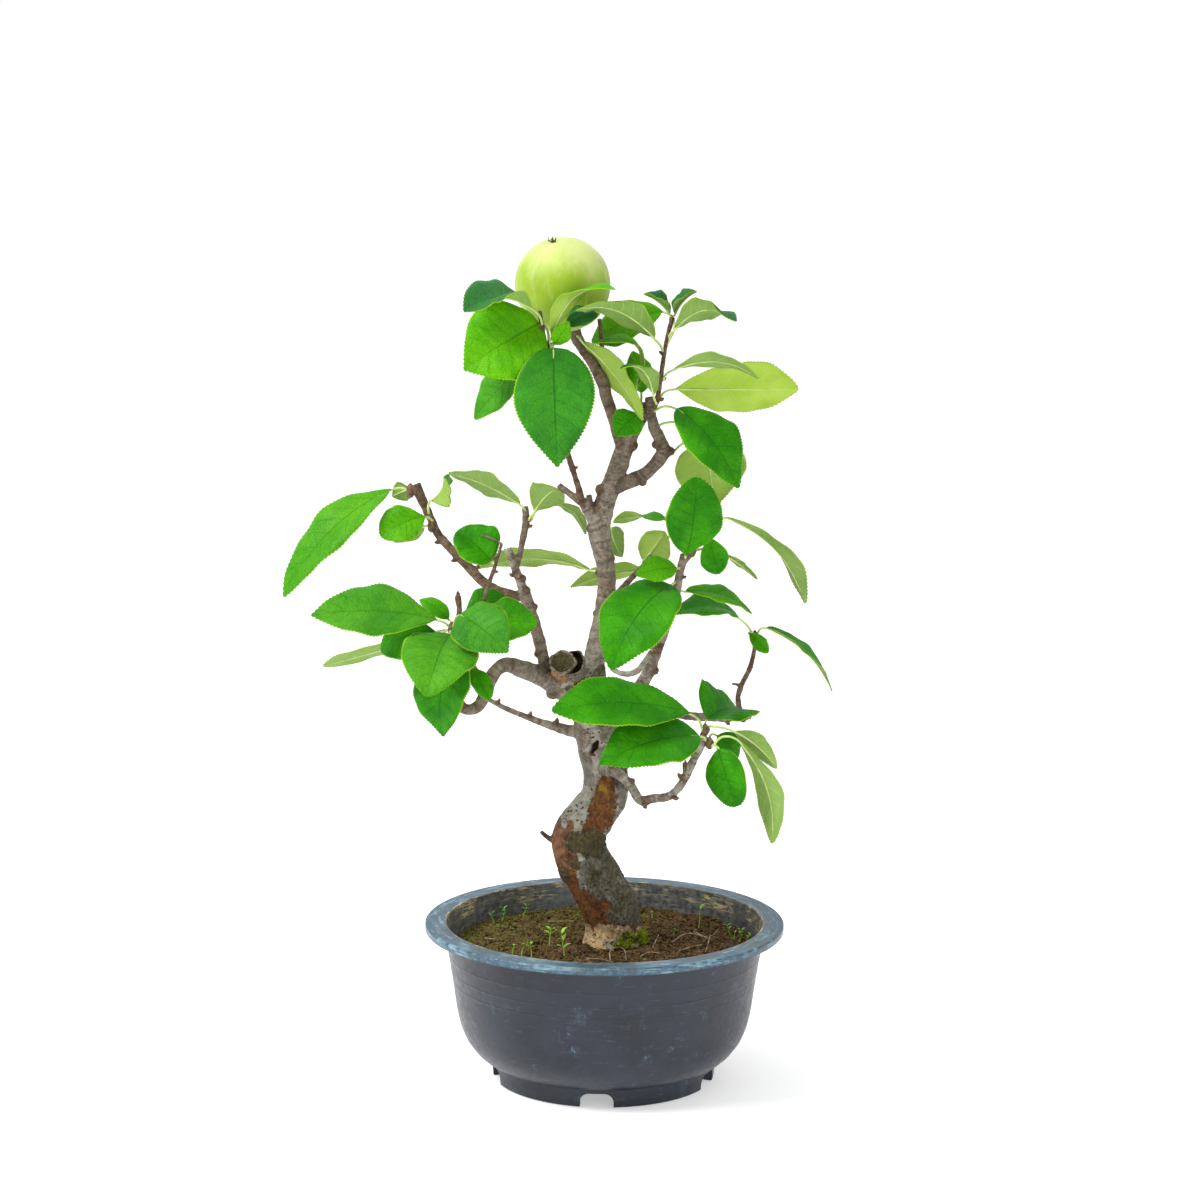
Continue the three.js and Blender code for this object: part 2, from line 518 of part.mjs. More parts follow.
// A round, slightly flattened quince on the leader's end, its calyx up
function fruitSolid() {
  const profile = [[0, -26.5]];
  for (let i = 1; i < FRUIT_RINGS; i++) {
    const angle = Math.PI * (i / FRUIT_RINGS - 0.5);
    const pole = Math.pow(Math.abs(Math.sin(angle)), 8);
    profile.push([FRUIT_RADIUS * Math.cos(angle), FRUIT_RADIUS * Math.sin(angle) * (1 - 0.06 * pole)]);
  }
  profile.push([2.6, 28.6], [2.8, 30.6], [1.2, 29.4], [0, 29]);
  const tilt = new THREE.Euler(THREE.MathUtils.degToRad(10), THREE.MathUtils.degToRad(-12), 0);
  const outline = profile.map(([r, z]) => new THREE.Vector2(r, z));
  const geometry = new THREE.LatheGeometry(outline, FRUIT_SEGMENTS);
  geometry.rotateX(Math.PI / 2);
  geometry.applyMatrix4(new THREE.Matrix4().makeRotationFromEuler(tilt));
  return toSolid(geometry.translate(...placed(FRUIT_CENTRE)));
}

const tree = new THREE.Group();

function addPart(name, solid, surface) {
  const mesh = new THREE.Mesh(toGeometry(solid), surface);
  mesh.name = name;
  tree.add(mesh);
}

const wood = woodSolid(0);
const woodClearance = woodSolid(GAP);
addPart("pot", potSolid(), POT_PLASTIC);
addPart("soil", soilSolid().subtract(woodClearance), SOIL_BROWN);
addPart("trunk_and_branches", wood, BARK);
addPart("fruit", largestPiece(fruitSolid().subtract(woodClearance)), FRUIT_SKIN);
for (const [name, rows] of Object.entries(LEAVES)) {
  addPart(name, largestPiece(spraySolid(name, rows).subtract(woodClearance)), LEAF_GREEN);
}

// The origin is under the middle of the whole tree, which reaches further to one side of its pot
const extent = new THREE.Box3().setFromObject(tree);
tree.position.set(-(extent.min.x + extent.max.x) / 2, -(extent.min.y + extent.max.y) / 2, 0);

export default tree;
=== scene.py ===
from math import cos, hypot, pi, radians, sin

import bpy
import numpy as np
from mathutils import Matrix, Quaternion, Vector, kdtree, noise


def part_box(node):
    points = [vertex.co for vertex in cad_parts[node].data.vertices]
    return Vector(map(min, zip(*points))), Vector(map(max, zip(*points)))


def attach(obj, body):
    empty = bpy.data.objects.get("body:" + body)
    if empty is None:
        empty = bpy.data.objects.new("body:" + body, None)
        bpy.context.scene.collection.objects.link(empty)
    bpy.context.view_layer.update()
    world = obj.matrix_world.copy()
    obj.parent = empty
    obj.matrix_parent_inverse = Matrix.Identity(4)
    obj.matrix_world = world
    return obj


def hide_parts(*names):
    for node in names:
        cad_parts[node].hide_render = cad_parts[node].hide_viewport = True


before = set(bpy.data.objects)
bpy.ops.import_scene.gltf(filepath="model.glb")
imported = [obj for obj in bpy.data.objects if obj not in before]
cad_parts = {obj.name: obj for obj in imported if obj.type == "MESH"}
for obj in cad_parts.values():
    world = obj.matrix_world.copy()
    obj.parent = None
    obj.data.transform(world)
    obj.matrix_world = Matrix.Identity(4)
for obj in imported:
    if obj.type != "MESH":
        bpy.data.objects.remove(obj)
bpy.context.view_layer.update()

# The pot's axis and the viewpoint, which every place on the tree is written against
MM = 0.001
pot_low, pot_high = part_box("pot")
POT_AXIS = Vector(((pot_low[0] + pot_high[0]) / 2, (pot_low[1] + pot_high[1]) / 2, 0))
VIEWPOINT = Vector((-4, -1800, 583))
CAMERA_PITCH = 8.24
CAMERA_ROLL = -0.37
CAMERA_LENS = 82.8
CAMERA_X = -4.4

# Pot, as in the frame
RIM_RADIUS = 120
RIM_TOP = 106
MOUTH_RADIUS = 105.5
WALL = 2.8
FLOOR_TOP = 17
FOOT_RADIUS = 75
FOOT_WIDTH = 7
FOOT_HEIGHT = 12.5
NOTCH_COUNT = 5
NOTCH_WIDTH = 22
NOTCH_HEIGHT = 9.5
NOTCH_TURN = -3.5
NOTCH_BEVEL = 6
POT_SIDES = 160
SOIL_LEVEL = 87.6
SOIL_RISE_AT_TRUNK = 5
SOIL_RADIUS = 101.5

# Wood, as fine as it is remeshed and the share of its faces that is kept
WOOD_VOXEL = 0.76
WOOD_KEPT = 0.65
HOLLOW_DEPTH = 5.0

# Only thin twigs with small joints bear buds: their radius, and the joint's size
THICKEST_BUDDED = 3.4
LARGEST_BUDDED = 2.6

# What lies on the soil: how many pieces, how far out, and how far from the trunk's middle
SKIN_STEPS = 230
CRUMB_COUNT = 3600
CRUMB_CLEARANCE = 19
MOSS_TRIES_ON_TRUNK = 520
MOSS_COUNT = 1500
MOSS_RADIUS = 99
MOSS_CLEARANCE = 20
MOSS_AT_TRUNK = 19.5
MOSS_SPREAD = 4
MOSS_CLIMB = 13
FULL_TURN = 6.28

# Fruit and leaves
FRUIT_RADIUS = 31
FRUIT_CENTRE = (-30, -5, 529)
FRUIT_BLOOM_AND_LIGHT_LOW = 524
FRUIT_BLOOM_AND_LIGHT_HIGH = 556
FRUIT_BASIN = 2.4
FRUIT_SHOULDER = 0.8
FRUIT_FOOT_DIMPLE = 4.2
LEAF_THICKNESS = 0.55
LEAF_FOLD = 14
BLADE_STEPS = 72
BLADE_COLUMNS = 16
VEIN_PAIRS = 8
VEIN_SLANT = 0.17
TOOTH_OUT = 0.62
TOOTH_IN = -0.22
TOOTH_FORWARD = 0.35
THINNEST_BLADE = 0.3
PUCKER = 0.024
RIB_GROOVE = 0.32
EDGE_WAVE = 0.085
EDGE_RIPPLE = 0.03
EDGE_DROOP = 0.16
PETIOLE_RADIUS = 0.85

# One seed for the random draws, and for the noise vectors, which Blender else takes from the clock
SEED = 7
random = np.random.default_rng(SEED)
noise.seed_set(SEED)


# Places

def placed(x, depth, z):
    """The point in metres that shows at x and z of the front view, in millimetres, at its depth."""
    reach = 1 + depth / -VIEWPOINT.y
    across = VIEWPOINT.x + (x - VIEWPOINT.x) * reach
    up = VIEWPOINT.z + (z - VIEWPOINT.z) * reach
    return POT_AXIS + Vector((across, depth, up)) * MM


def smooth(value, low, high):
    """0 below low, 1 above high, and a soft step between them."""
    share = np.clip((value - low) / (high - low), 0, 1)
    return share * share * (3 - 2 * share)


# Making and finishing pieces

def deselect():
    bpy.ops.object.select_all(action="DESELECT")


def linked(name, data):
    """A new object in the scene round its data."""
    made = bpy.data.objects.new(name, data)
    bpy.context.collection.objects.link(made)
    return made


def choose(piece):
    """Selects one piece alone and makes it the active one."""
    deselect()
    piece.select_set(True)
    bpy.context.view_layer.objects.active = piece


def joined(name, parts):
    """One object from several, each with its own mesh."""
    deselect()
    for part in parts:
        part.select_set(True)
    bpy.context.view_layer.objects.active = parts[0]
    if len(parts) > 1:
        bpy.ops.object.join()
    piece = bpy.context.active_object
    piece.name = name
    piece.data.name = name
    return piece


def modified(piece, kind, **settings):
    """Adds a modifier, sets it and applies it."""
    choose(piece)
    modifier = piece.modifiers.new(kind.title(), kind)
    for key, value in settings.items():
        setattr(modifier, key, value)
    bpy.ops.object.modifier_apply(modifier=modifier.name)


def settle(piece):
    """Puts a piece's place, turn and size into its mesh."""
    choose(piece)
    bpy.ops.object.transform_apply(location=True, rotation=True, scale=True)


def points_of(piece, what="co"):
    """The places of a mesh's points, or their normals, one row for each."""
    flat = np.empty(len(piece.data.vertices) * 3)
    piece.data.vertices.foreach_get(what, flat)
    return flat.reshape(-1, 3)


def move_points(piece, points):
    piece.data.vertices.foreach_set("co", np.asarray(points, dtype=float).ravel())
    piece.data.update()


def noise_at(points, size):
    """Noise of a size in millimetres, read at each point."""
    return np.array([noise.noise(Vector(p) / (size * MM)) for p in points])


def paint(piece, name, values):
    """Stores one value for each point, for a material to read."""
    layer = piece.data.attributes.get(name) or piece.data.attributes.new(name, "FLOAT", "POINT")
    layer.data.foreach_set("value", np.broadcast_to(values, len(piece.data.vertices)).astype(float))


def shade(piece, angle=None):
    """Smooth shading, all over or up to an angle in degrees."""
    choose(piece)
    if angle is None:
        bpy.ops.object.shade_smooth()
    else:
        bpy.ops.object.shade_smooth_by_angle(angle=radians(angle))


def finished(piece, slot, *nodes):
    """The piece rides on the tree's one body and stands for the named nodes; the slot is not used."""
    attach(piece, "root")
    if nodes:
        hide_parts(*nodes)
    return piece


def coated(piece, *materials):
    """Gives a piece its materials in place of those that it has."""
    piece.data.materials.clear()
    for material in materials:
        piece.data.materials.append(material)


def stems(name, paths, sides, steps):
    """Round tapering stems through points, each point with its radius in millimetres."""
    curve = bpy.data.curves.new(name, "CURVE")
    curve.dimensions = "3D"
    curve.bevel_depth = MM
    curve.bevel_resolution = sides // 2 - 2
    curve.use_fill_caps = True
    curve.resolution_u = steps
    for path in paths:
        spline = curve.splines.new("BEZIER")
        spline.bezier_points.add(len(path) - 1)
        for handle, (point, radius) in zip(spline.bezier_points, path):
            handle.co = point
            handle.radius = radius
            handle.handle_left_type = handle.handle_right_type = "AUTO"
    made = linked(name, curve)
    choose(made)
    bpy.ops.object.convert(target="MESH")
    return bpy.context.active_object


# Materials

def node(tree, kind, *values, **settings):
    """A shader node with its inputs in order: numbers, colours or other nodes' outputs."""
    made = tree.nodes.new("ShaderNode" + kind)
    for key, value in settings.items():
        setattr(made, key, value)
    for socket, value in zip(made.inputs, values):
        feed(tree, socket, value)
    return made


def feed(tree, socket, value):
    """Links an output to a socket, or sets the socket's own value. None leaves it as it is."""
    if value is None:
        return
    if isinstance(value, bpy.types.NodeSocket):
        tree.links.new(value, socket)
    elif socket.type == "RGBA" and len(value) == 3:
        socket.default_value = (*value, 1)
    else:
        socket.default_value = value


def maths(tree, operation, *values):
    return node(tree, "Math", *values, operation=operation).outputs[0]


def times(tree, first, second):
    return maths(tree, "MULTIPLY", first, second)


def plus(tree, first, second):
    return maths(tree, "ADD", first, second)


def scaled(tree, value, factor, offset):
    """A value times a factor, plus an offset."""
    return maths(tree, "MULTIPLY_ADD", value, factor, offset)


def mixed(tree, share, first, second):
    """The first colour, and a share of the second one."""
    made = node(tree, "Mix", data_type="RGBA", blend_type="MIX")
    for socket, value in (("Factor", share), (6, first), (7, second)):
        feed(tree, made.inputs[socket], value)
    return made.outputs[2]


def step(tree, value, low, high, bottom=0.0, top=1.0):
    """A soft step from bottom to top as value goes from low to high."""
    made = node(tree, "MapRange", value, low, high, bottom, top, interpolation_type="SMOOTHSTEP")
    return made.outputs[0]


def toned(tree, value, low, high, first, second, most=1.0):
    """The first colour, and more and more of the second one as value goes from low to high."""
    return mixed(tree, step(tree, value, low, high, 0.0, most), first, second)


def over(tree, colour, mask, strength, cover):
    """A colour with another one laid over it where a mask says, at a strength."""
    return mixed(tree, times(tree, mask, strength), colour, cover)


def fed(tree, made, **values):
    """Feeds a node's named inputs and gives its first output."""
    for key, value in values.items():
        feed(tree, made.inputs[key], value)
    return made.outputs[0]


def clouds(tree, place, scale, detail=4.0, rough=0.55, warp=0.0):
    """Soft irregular noise, from 0 to 1 round 0.5."""
    made = node(tree, "TexNoise", noise_dimensions="3D")
    return fed(tree, made, Vector=place, Scale=scale, Detail=detail, Roughness=rough, Distortion=warp)


def cells(tree, place, scale, feature="F1"):
    """Distance from the middle of the nearest cell, or from the border between two."""
    return fed(tree, node(tree, "TexVoronoi", feature=feature), Vector=place, Scale=scale)


def painted(tree, name):
    """The value that paint() stored on a piece's points."""
    return node(tree, "Attribute", attribute_name=name).outputs["Fac"]


def stretched(tree, place, along):
    """A place scaled along each axis, so that a pattern on it runs long or short."""
    return node(tree, "Mapping", place, None, None, along).outputs[0]


def surface(name):
    """A new material, its tree, its Principled shader and the place on the object in metres."""
    material = bpy.data.materials.new(name)
    material.use_nodes = True
    tree = material.node_tree
    shader = tree.nodes["Principled BSDF"]
    place = node(tree, "TexCoord").outputs["Object"]
    return material, tree, shader, place


def dressed(tree, shader, colour, roughness, specular=None):
    """Gives a shader its colour, roughness and specular level, each one value or a node's output."""
    feed(tree, shader.inputs["Base Color"], colour)
    feed(tree, shader.inputs["Roughness"], roughness)
    feed(tree, shader.inputs["Specular IOR Level"], specular)


def relief(tree, shader, height, strength, distance=MM):
    """Fine relief from a height, through a Bump node."""
    bump = fed(tree, node(tree, "Bump"), Strength=strength, Distance=distance, Height=height)
    tree.links.new(bump, shader.inputs["Normal"])


def two_toned(name, grain, dark, light, roughness, strength=None):
    """A plain skin in two shades, with clouds of a scale, a detail and a roughness, and perhaps a relief."""
    material, tree, shader, place = surface(name)
    tint = clouds(tree, place, *grain)
    dressed(tree, shader, toned(tree, tint, 0.35, 0.65, dark, light), roughness)
    if strength is not None:
        relief(tree, shader, tint, strength)
    return material


def group(name, inputs, outputs):
    """An empty shader node group with named inputs and outputs."""
    made = bpy.data.node_groups.new(name, "ShaderNodeTree")
    for socket, (kind, value) in inputs.items():
        item = made.interface.new_socket(socket, in_out="INPUT", socket_type="NodeSocket" + kind)
        if value is not None:
            item.default_value = value
    for socket, kind in outputs.items():
        made.interface.new_socket(socket, in_out="OUTPUT", socket_type="NodeSocket" + kind)
    return made, made.nodes.new("NodeGroupInput").outputs, made.nodes.new("NodeGroupOutput").inputs


def use(tree, grouped, **values):
    """Places a group in a material, with this material's own values."""
    made = tree.nodes.new("ShaderNodeGroup")
    made.node_tree = grouped
    fed(tree, made, **values)
    return made.outputs


def grain_group():
    """Fine grain of clouds and pits: its height, at any scale."""
    made, given, out = group(
        "fine_grain",
        {"Place": ("Vector", None), "Scale": ("Float", 600.0)},
        {"Height": "Float"},
    )
    fine = clouds(made, given["Place"], given["Scale"], 5.0, 0.7)
    pits = cells(made, given["Place"], times(made, given["Scale"], 0.7))
    made.links.new(plus(made, fine, times(made, pits, 0.5)), out["Height"])
    return made


GRAIN = grain_group()


def leaf_group():
    """Veins of a leaf, from its own map: along it from stalk to tip, and across it from edge to edge."""
    made, given, out = group(
        "leaf_veins",
        {"Map": ("Vector", None), "Place": ("Vector", None)},
        {
            "Midrib": "Float", "Side veins": "Float", "Network": "Float", "Edge": "Float",
            "Mottle": "Float", "Height": "Float",
        },
    )
    split = node(made, "SeparateXYZ", given["Map"]).outputs
    signed = scaled(made, split[1], 2.0, -1.0)
    across = maths(made, "ABSOLUTE", signed)
    wander = scaled(made, clouds(made, given["Place"], 110.0, 3.0), 0.06, -0.03)
    slant = times(made, maths(made, "POWER", across, 1.25), -VEIN_SLANT)
    stagger = times(made, maths(made, "GREATER_THAN", signed, 0.0), 0.5 / VEIN_PAIRS)
    along = plus(made, plus(made, split[0], slant), plus(made, wander, stagger))
    beat = maths(made, "PINGPONG", times(made, along, VEIN_PAIRS), 0.5)
    fade = step(made, across, 0.55, 0.95, 1.0, 0.0)
    side = times(made, step(made, beat, 0.015, 0.05, 1.0, 0.0), fade)
    rib_width = step(made, split[0], 0.0, 1.0, 0.034, 0.012)
    midrib = step(made, maths(made, "DIVIDE", across, rib_width), 0.5, 1.2, 1.0, 0.0)
    net = step(made, cells(made, given["Place"], 720.0, "DISTANCE_TO_EDGE"), 0.0, 0.14, 1.0, 0.0)
    ripple = clouds(made, given["Place"], 300.0, 4.0, 0.6)
    height = scaled(made, net, -0.35, ripple)
    height = scaled(made, side, -0.8, height)
    made.links.new(midrib, out["Midrib"])
    made.links.new(side, out["Side veins"])
    made.links.new(net, out["Network"])
    made.links.new(step(made, across, 0.955, 0.990), out["Edge"])
    made.links.new(clouds(made, given["Place"], 38.0, 4.0, 0.6), out["Mottle"])
    made.links.new(scaled(made, midrib, -1.2, height), out["Height"])
    return made


VEINS = leaf_group()


def leaf_surface(name):
    """A new material for one face of the leaves, with its veins and the youth of each leaf, which on some
    leaves also stands for painted light.
    """
    material, tree, shader, place = surface(name)
    leaf_map = node(tree, "TexCoord").outputs["UV"]
    veins = use(tree, VEINS, Map=leaf_map, Place=place)
    return material, tree, shader, place, veins, painted(tree, "youth_and_light")


def leaf_upper():
    """Upper face: saturated green, yellower where the leaf is young and where light is painted on it, with
    fine veins, a soft sheen and a bluish grey painted sheen.
    """
    material, tree, shader, place, veins, youth_and_light = leaf_surface("leaf_upper")
    mottle = step(tree, veins["Mottle"], 0.35, 0.65)
    mature = mixed(tree, mottle, (0.018, 0.185, 0.000), (0.044, 0.300, 0.001))
    fresh = mixed(tree, mottle, (0.075, 0.360, 0.000), (0.140, 0.460, 0.001))
    # Youth makes the green yellower and lighter; on some leaves the same share stands for painted light.
    green = mixed(tree, youth_and_light, mature, fresh)
    # Painted sheen: a bluish grey cast over the green where a leaf catches the light.
    green = mixed(tree, painted(tree, "painted_sheen"), green, (0.035, 0.150, 0.045))
    rib_colour = mixed(tree, youth_and_light, (0.012, 0.115, 0.006), (0.060, 0.260, 0.004))
    for vein, share in (("Network", 0.16), ("Side veins", 0.32), ("Midrib", 0.6)):
        green = over(tree, green, veins[vein], share, rib_colour)
    speckle = step(tree, clouds(tree, place, 900.0, 3.0, 0.6), 0.35, 0.65, 0.82, 1.12)
    green = fed(tree, node(tree, "VectorMath", green, operation="SCALE"), Scale=speckle)
    # A lime line along the margin: part the leaf's own edge, part a painted highlight.
    green = over(tree, green, veins["Edge"], 0.8, (0.330, 0.560, 0.020))
    dressed(tree, shader, green, step(tree, veins["Mottle"], 0.3, 0.7, 0.30, 0.42), 0.09)
    relief(tree, shader, veins["Height"], 0.6, 0.0007)
    return material


def leaf_under():
    """Underside: pale matt green with a lighter raised midrib, and painted light that lightens the undersides
    of the back leaves.
    """
    material, tree, shader, _, veins, youth_and_light = leaf_surface("leaf_under")
    mottle = step(tree, veins["Mottle"], 0.3, 0.7)
    pale = mixed(tree, mottle, (0.190, 0.320, 0.060), (0.255, 0.390, 0.098))
    lit = mixed(tree, mottle, (0.300, 0.480, 0.030), (0.400, 0.560, 0.070))
    # Painted light: the lit green lightens the shaded undersides of the back leaves.
    green = mixed(tree, youth_and_light, pale, lit)
    for vein, share, colour in (
        ("Network", 0.15, (0.200, 0.380, 0.060)), ("Side veins", 0.35, (0.460, 0.620, 0.230)),
        ("Midrib", 0.9, (0.600, 0.720, 0.350)), ("Edge", 0.6, (0.480, 0.620, 0.120)),
    ):
        green = over(tree, green, veins[vein], share, colour)
    dressed(tree, shader, green, 0.72, 0.25)
    relief(tree, shader, veins["Height"], 0.5, -0.0006)
    return material


LEAF_UPPER = leaf_upper()
LEAF_UNDER = leaf_under()
PETIOLE = two_toned("petiole", (160.0, 3.0), (0.380, 0.520, 0.130), (0.560, 0.660, 0.250), 0.5)
BUD_SCALES = two_toned("bud_scales", (420.0, 3.0), (0.060, 0.028, 0.014), (0.160, 0.095, 0.045), 0.6, 0.5)

# Leaves, as in the frame, node by node: where the petiole leaves the wood, base and tip of the blade,
# bow of the midrib, full width, turn of the face about the midrib, and for some the fold in degrees.
# Places are (x, depth, z) of the front view, in millimetres.
LEAVES = {
    "leaf_beside_fruit": [
        ((-43, -38.6, 503), (-50, -45, 514), (-94, -54, 511), 8, 42, 92, 28),
    ],
    "spray_under_fruit": [
        ((-39, -38, 490), (-45, -35, 504), (-94, -47, 473), 5, 57, 15),
        ((-38, -39, 488), (-36, -47, 488), (-33, -55, 410), 6, 52, 0),
        ((-39, -37, 488), (-51, -29, 477), (-87, -30, 441), 5, 28, 40),
        ((-38, -39, 490), (-37, -43, 496), (4, -64, 526), 13, 23, -118, 18),
        ((-37, -37, 490), (-27, -37, 502), (-7, -30, 510), 4, 17, -40),
        ((-37, -39, 489), (-35, -42, 490), (-26, -47, 505), 2, 12, 10),
    ],
    "leaf_pair_top": [
        ((40, -22, 506), (40, -23, 511), (23, -26, 523), 2, 20, 77, 40),
        ((42, -22, 506), (42.5, -23, 511), (57, -26, 525), 2, 20, -77, 40),
    ],
    "leaf_top_drooping": [
        ((39, -21, 495), (43, -25, 501), (83, -36, 506), 11, 32, -114),
    ],
    "leaf_over_leader": [
        ((36, -19, 485), (30, -26, 495), (-22, -60, 512), 10, 32, 116),
    ],
    "leaf_upper_right_arched": [
        ((36, -18, 468), (43, -24, 475), (98, -36, 469), 9, 20, -116),
    ],
    "leaf_upper_right_pale": [
        ((34, -15, 456), (44, -6, 462), (124, 12, 462), 0, 44, -142, 16),
    ],
    "leaf_upper_right_dark": [
        ((30, -14, 447), (45, -27, 449), (86, -46, 397), 9, 40, -35),
    ],
    "leaf_right_hanging_back": [
        ((37, -7, 415), (65, 12, 429), (71, 24, 385), 6, 48, 172, 6),
    ],
    "leaf_right_tucked": [
        ((31, -10, 436), (43, -12, 441), (62, -14, 430), 4, 16, -80),
    ],
    "leaf_twig_curled": [
        ((32, -16, 452), (30, -31, 458), (8, -52, 475), 9, 20, 112),
    ],
    "leaf_leader_trailing": [
        ((-21, -8, 496), (-16, -14, 492), (23, -22, 441), 4, 32, -116),
    ],
    "leaf_behind_twig": [
        ((37, -19, 488), (35, 4, 512), (-11, 18, 492), 5, 34, 40),
    ],
    "spray_trunk_top": [
        ((21, -8, 452), (19, -14, 463), (-10, -27, 491), 19, 20, 84),
        ((21, -6, 452), (22, -3, 459), (16, 4, 486), 4, 18, 20),
        ((21, -8, 450), (20, -10, 445), (5, -16, 431), 3, 22, 20),
    ],
    "spray_left_tip": [
        ((-128, 30, 393), (-142, 28, 395), (-213, 8, 323), 12, 38, 48),
        ((-128, 32, 394), (-130, 35, 395), (-141, 40, 390), 2, 14, 170),
    ],
    "spray_left_bright": [
        ((-114, 24, 371), (-119, 20, 377), (-149, 10, 364), 4, 29, 30),
        ((-114, 25, 370), (-120, 25, 371), (-140, 28, 360), 2, 15, 150),
    ],
    "leaf_left_folded": [
        ((-117, 24, 379), (-115, 19, 387), (-107, 12, 403), 3, 32, 104, 34),
    ],
    "spray_left_fork": [
        ((-53, 8, 376), (-57, 6, 386), (-104, 2, 406), 3, 28, 118),
        ((-52, 7, 375), (-48, 2, 381), (-33, -8, 396), 4, 26, -152),
        ((-52, 9, 374), (-38, 15, 386), (-14, 30, 366), 7, 18, -110),
    ],
    "leaf_trunk_back_left": [
        ((-3, 2, 341), (-11, 10, 343), (-85, 36, 343), 8, 32, 112),
    ],
    "leaf_thin_twig": [
        ((-73, -29, 345), (-76, -27, 348), (-99, -20, 367), 3, 36, 30, 26),
    ],
    "spray_low_left": [
        ((-103, -47, 303), (-112, -51, 309), (-195, -64, 311), 6, 45, 42),
        ((-102, -45, 305), (-104, -42, 309), (-123, -36, 322), 3, 13, 30),
        ((-104, -45, 302), (-113, -42, 301), (-149, -38, 288), 6, 32, 35),
        ((-103, -48, 301), (-103, -52, 299), (-119, -94, 257), 8, 49, 14),
        ((-102, -46, 302), (-102, -43, 286), (-108, -48, 230), 9, 42, 30),
        ((-104, -44, 302), (-117, -34, 296), (-187, -8, 277), 1, 18, 120),
        ((-101, -48, 304), (-97, -55, 312), (-65, -81, 287), 7, 38, -15),
        ((-101, -45, 305), (-90, -44, 308), (-46, -46, 307), 1, 34, -36),
        ((-101, -44, 305), (-93, -34, 315), (-66, -24, 323), 4, 22, -40),
    ],
    "leaf_low_left_small": [
        ((-91, -42, 281), (-90, -49, 277), (-77, -58, 255), 3, 14, -20),
    ],
    "leaf_riser_tip": [
        ((51, -13, 350), (52, -17, 352), (58, -32, 404), 6, 40, 18),
    ],
    "leaf_riser_large": [
        ((47, -11, 335), (42, -17, 333), (3, -48, 276), 12, 52, 30),
    ],
    "leaf_riser_small": [
        ((49, -12, 344), (46, -16, 344), (19, -24, 339), 3, 20, 32),
    ],
    "spray_riser_fork": [
        ((56, -10, 355), (67, -8, 365), (73, -8, 340), 4, 19, 0),
        ((56, -9, 355), (77, 4, 354), (99, 14, 337), 1, 10, -112),
        ((57, -9, 356), (78, 6, 378), (131, 20, 321), 10, 25, -98, 30),
    ],
    "leaf_riser_back": [
        ((46, -10, 331), (52, -3, 329), (96, 10, 314), 6, 22, -64),
    ],
    "spray_right_twig": [
        ((98, 45, 299), (87, 42, 312), (44, 24, 313), 8, 30, 62),
        ((98, 44, 300), (94, 40, 301), (107, 34, 288), 2, 10, -10),
        ((99, 46, 300), (106, 47, 305), (150, 56, 262), 7, 24, -82, 20),
    ],
    "spray_back_twig": [
        ((31, 40, 353), (39, 46, 376), (4, 54, 374), 4, 16, 62),
        ((30, 39, 353), (24, 38, 348), (38, 32, 368), 2, 24, 170),
        ((29, 40, 351), (24, 44, 343), (-24, 46, 331), 3, 24, 122),
    ],
    "leaf_trunk_back": [
        ((-5, 3, 369), (2, 15, 370), (10, 24, 351), 4, 18, 160),
    ],
    "spray_low_right_upper": [
        ((65, -43, 235), (56, -47, 247), (-36, -74, 248), 9, 44, 42),
        ((67, -41, 235), (67, -36, 243), (87, 6, 250), 4, 50, -40, 34),
        ((66, -41, 237), (86, -46, 235), (114, -54, 210), 4, 17, -142),
    ],
    "spray_low_right_lower": [
        ((67, -45, 228), (62, -52, 232), (-4, -86, 212), 8, 46, 38),
        ((69, -45, 225), (87, -53, 230), (112, -68, 159), 12, 23, -136, 12),
        ((69, -46, 225), (75, -50, 223), (88, -62, 184), 5, 26, 10),
        ((69, -42, 228), (74, -30, 232), (88, -24, 217), 3, 20, -20),
    ],
}
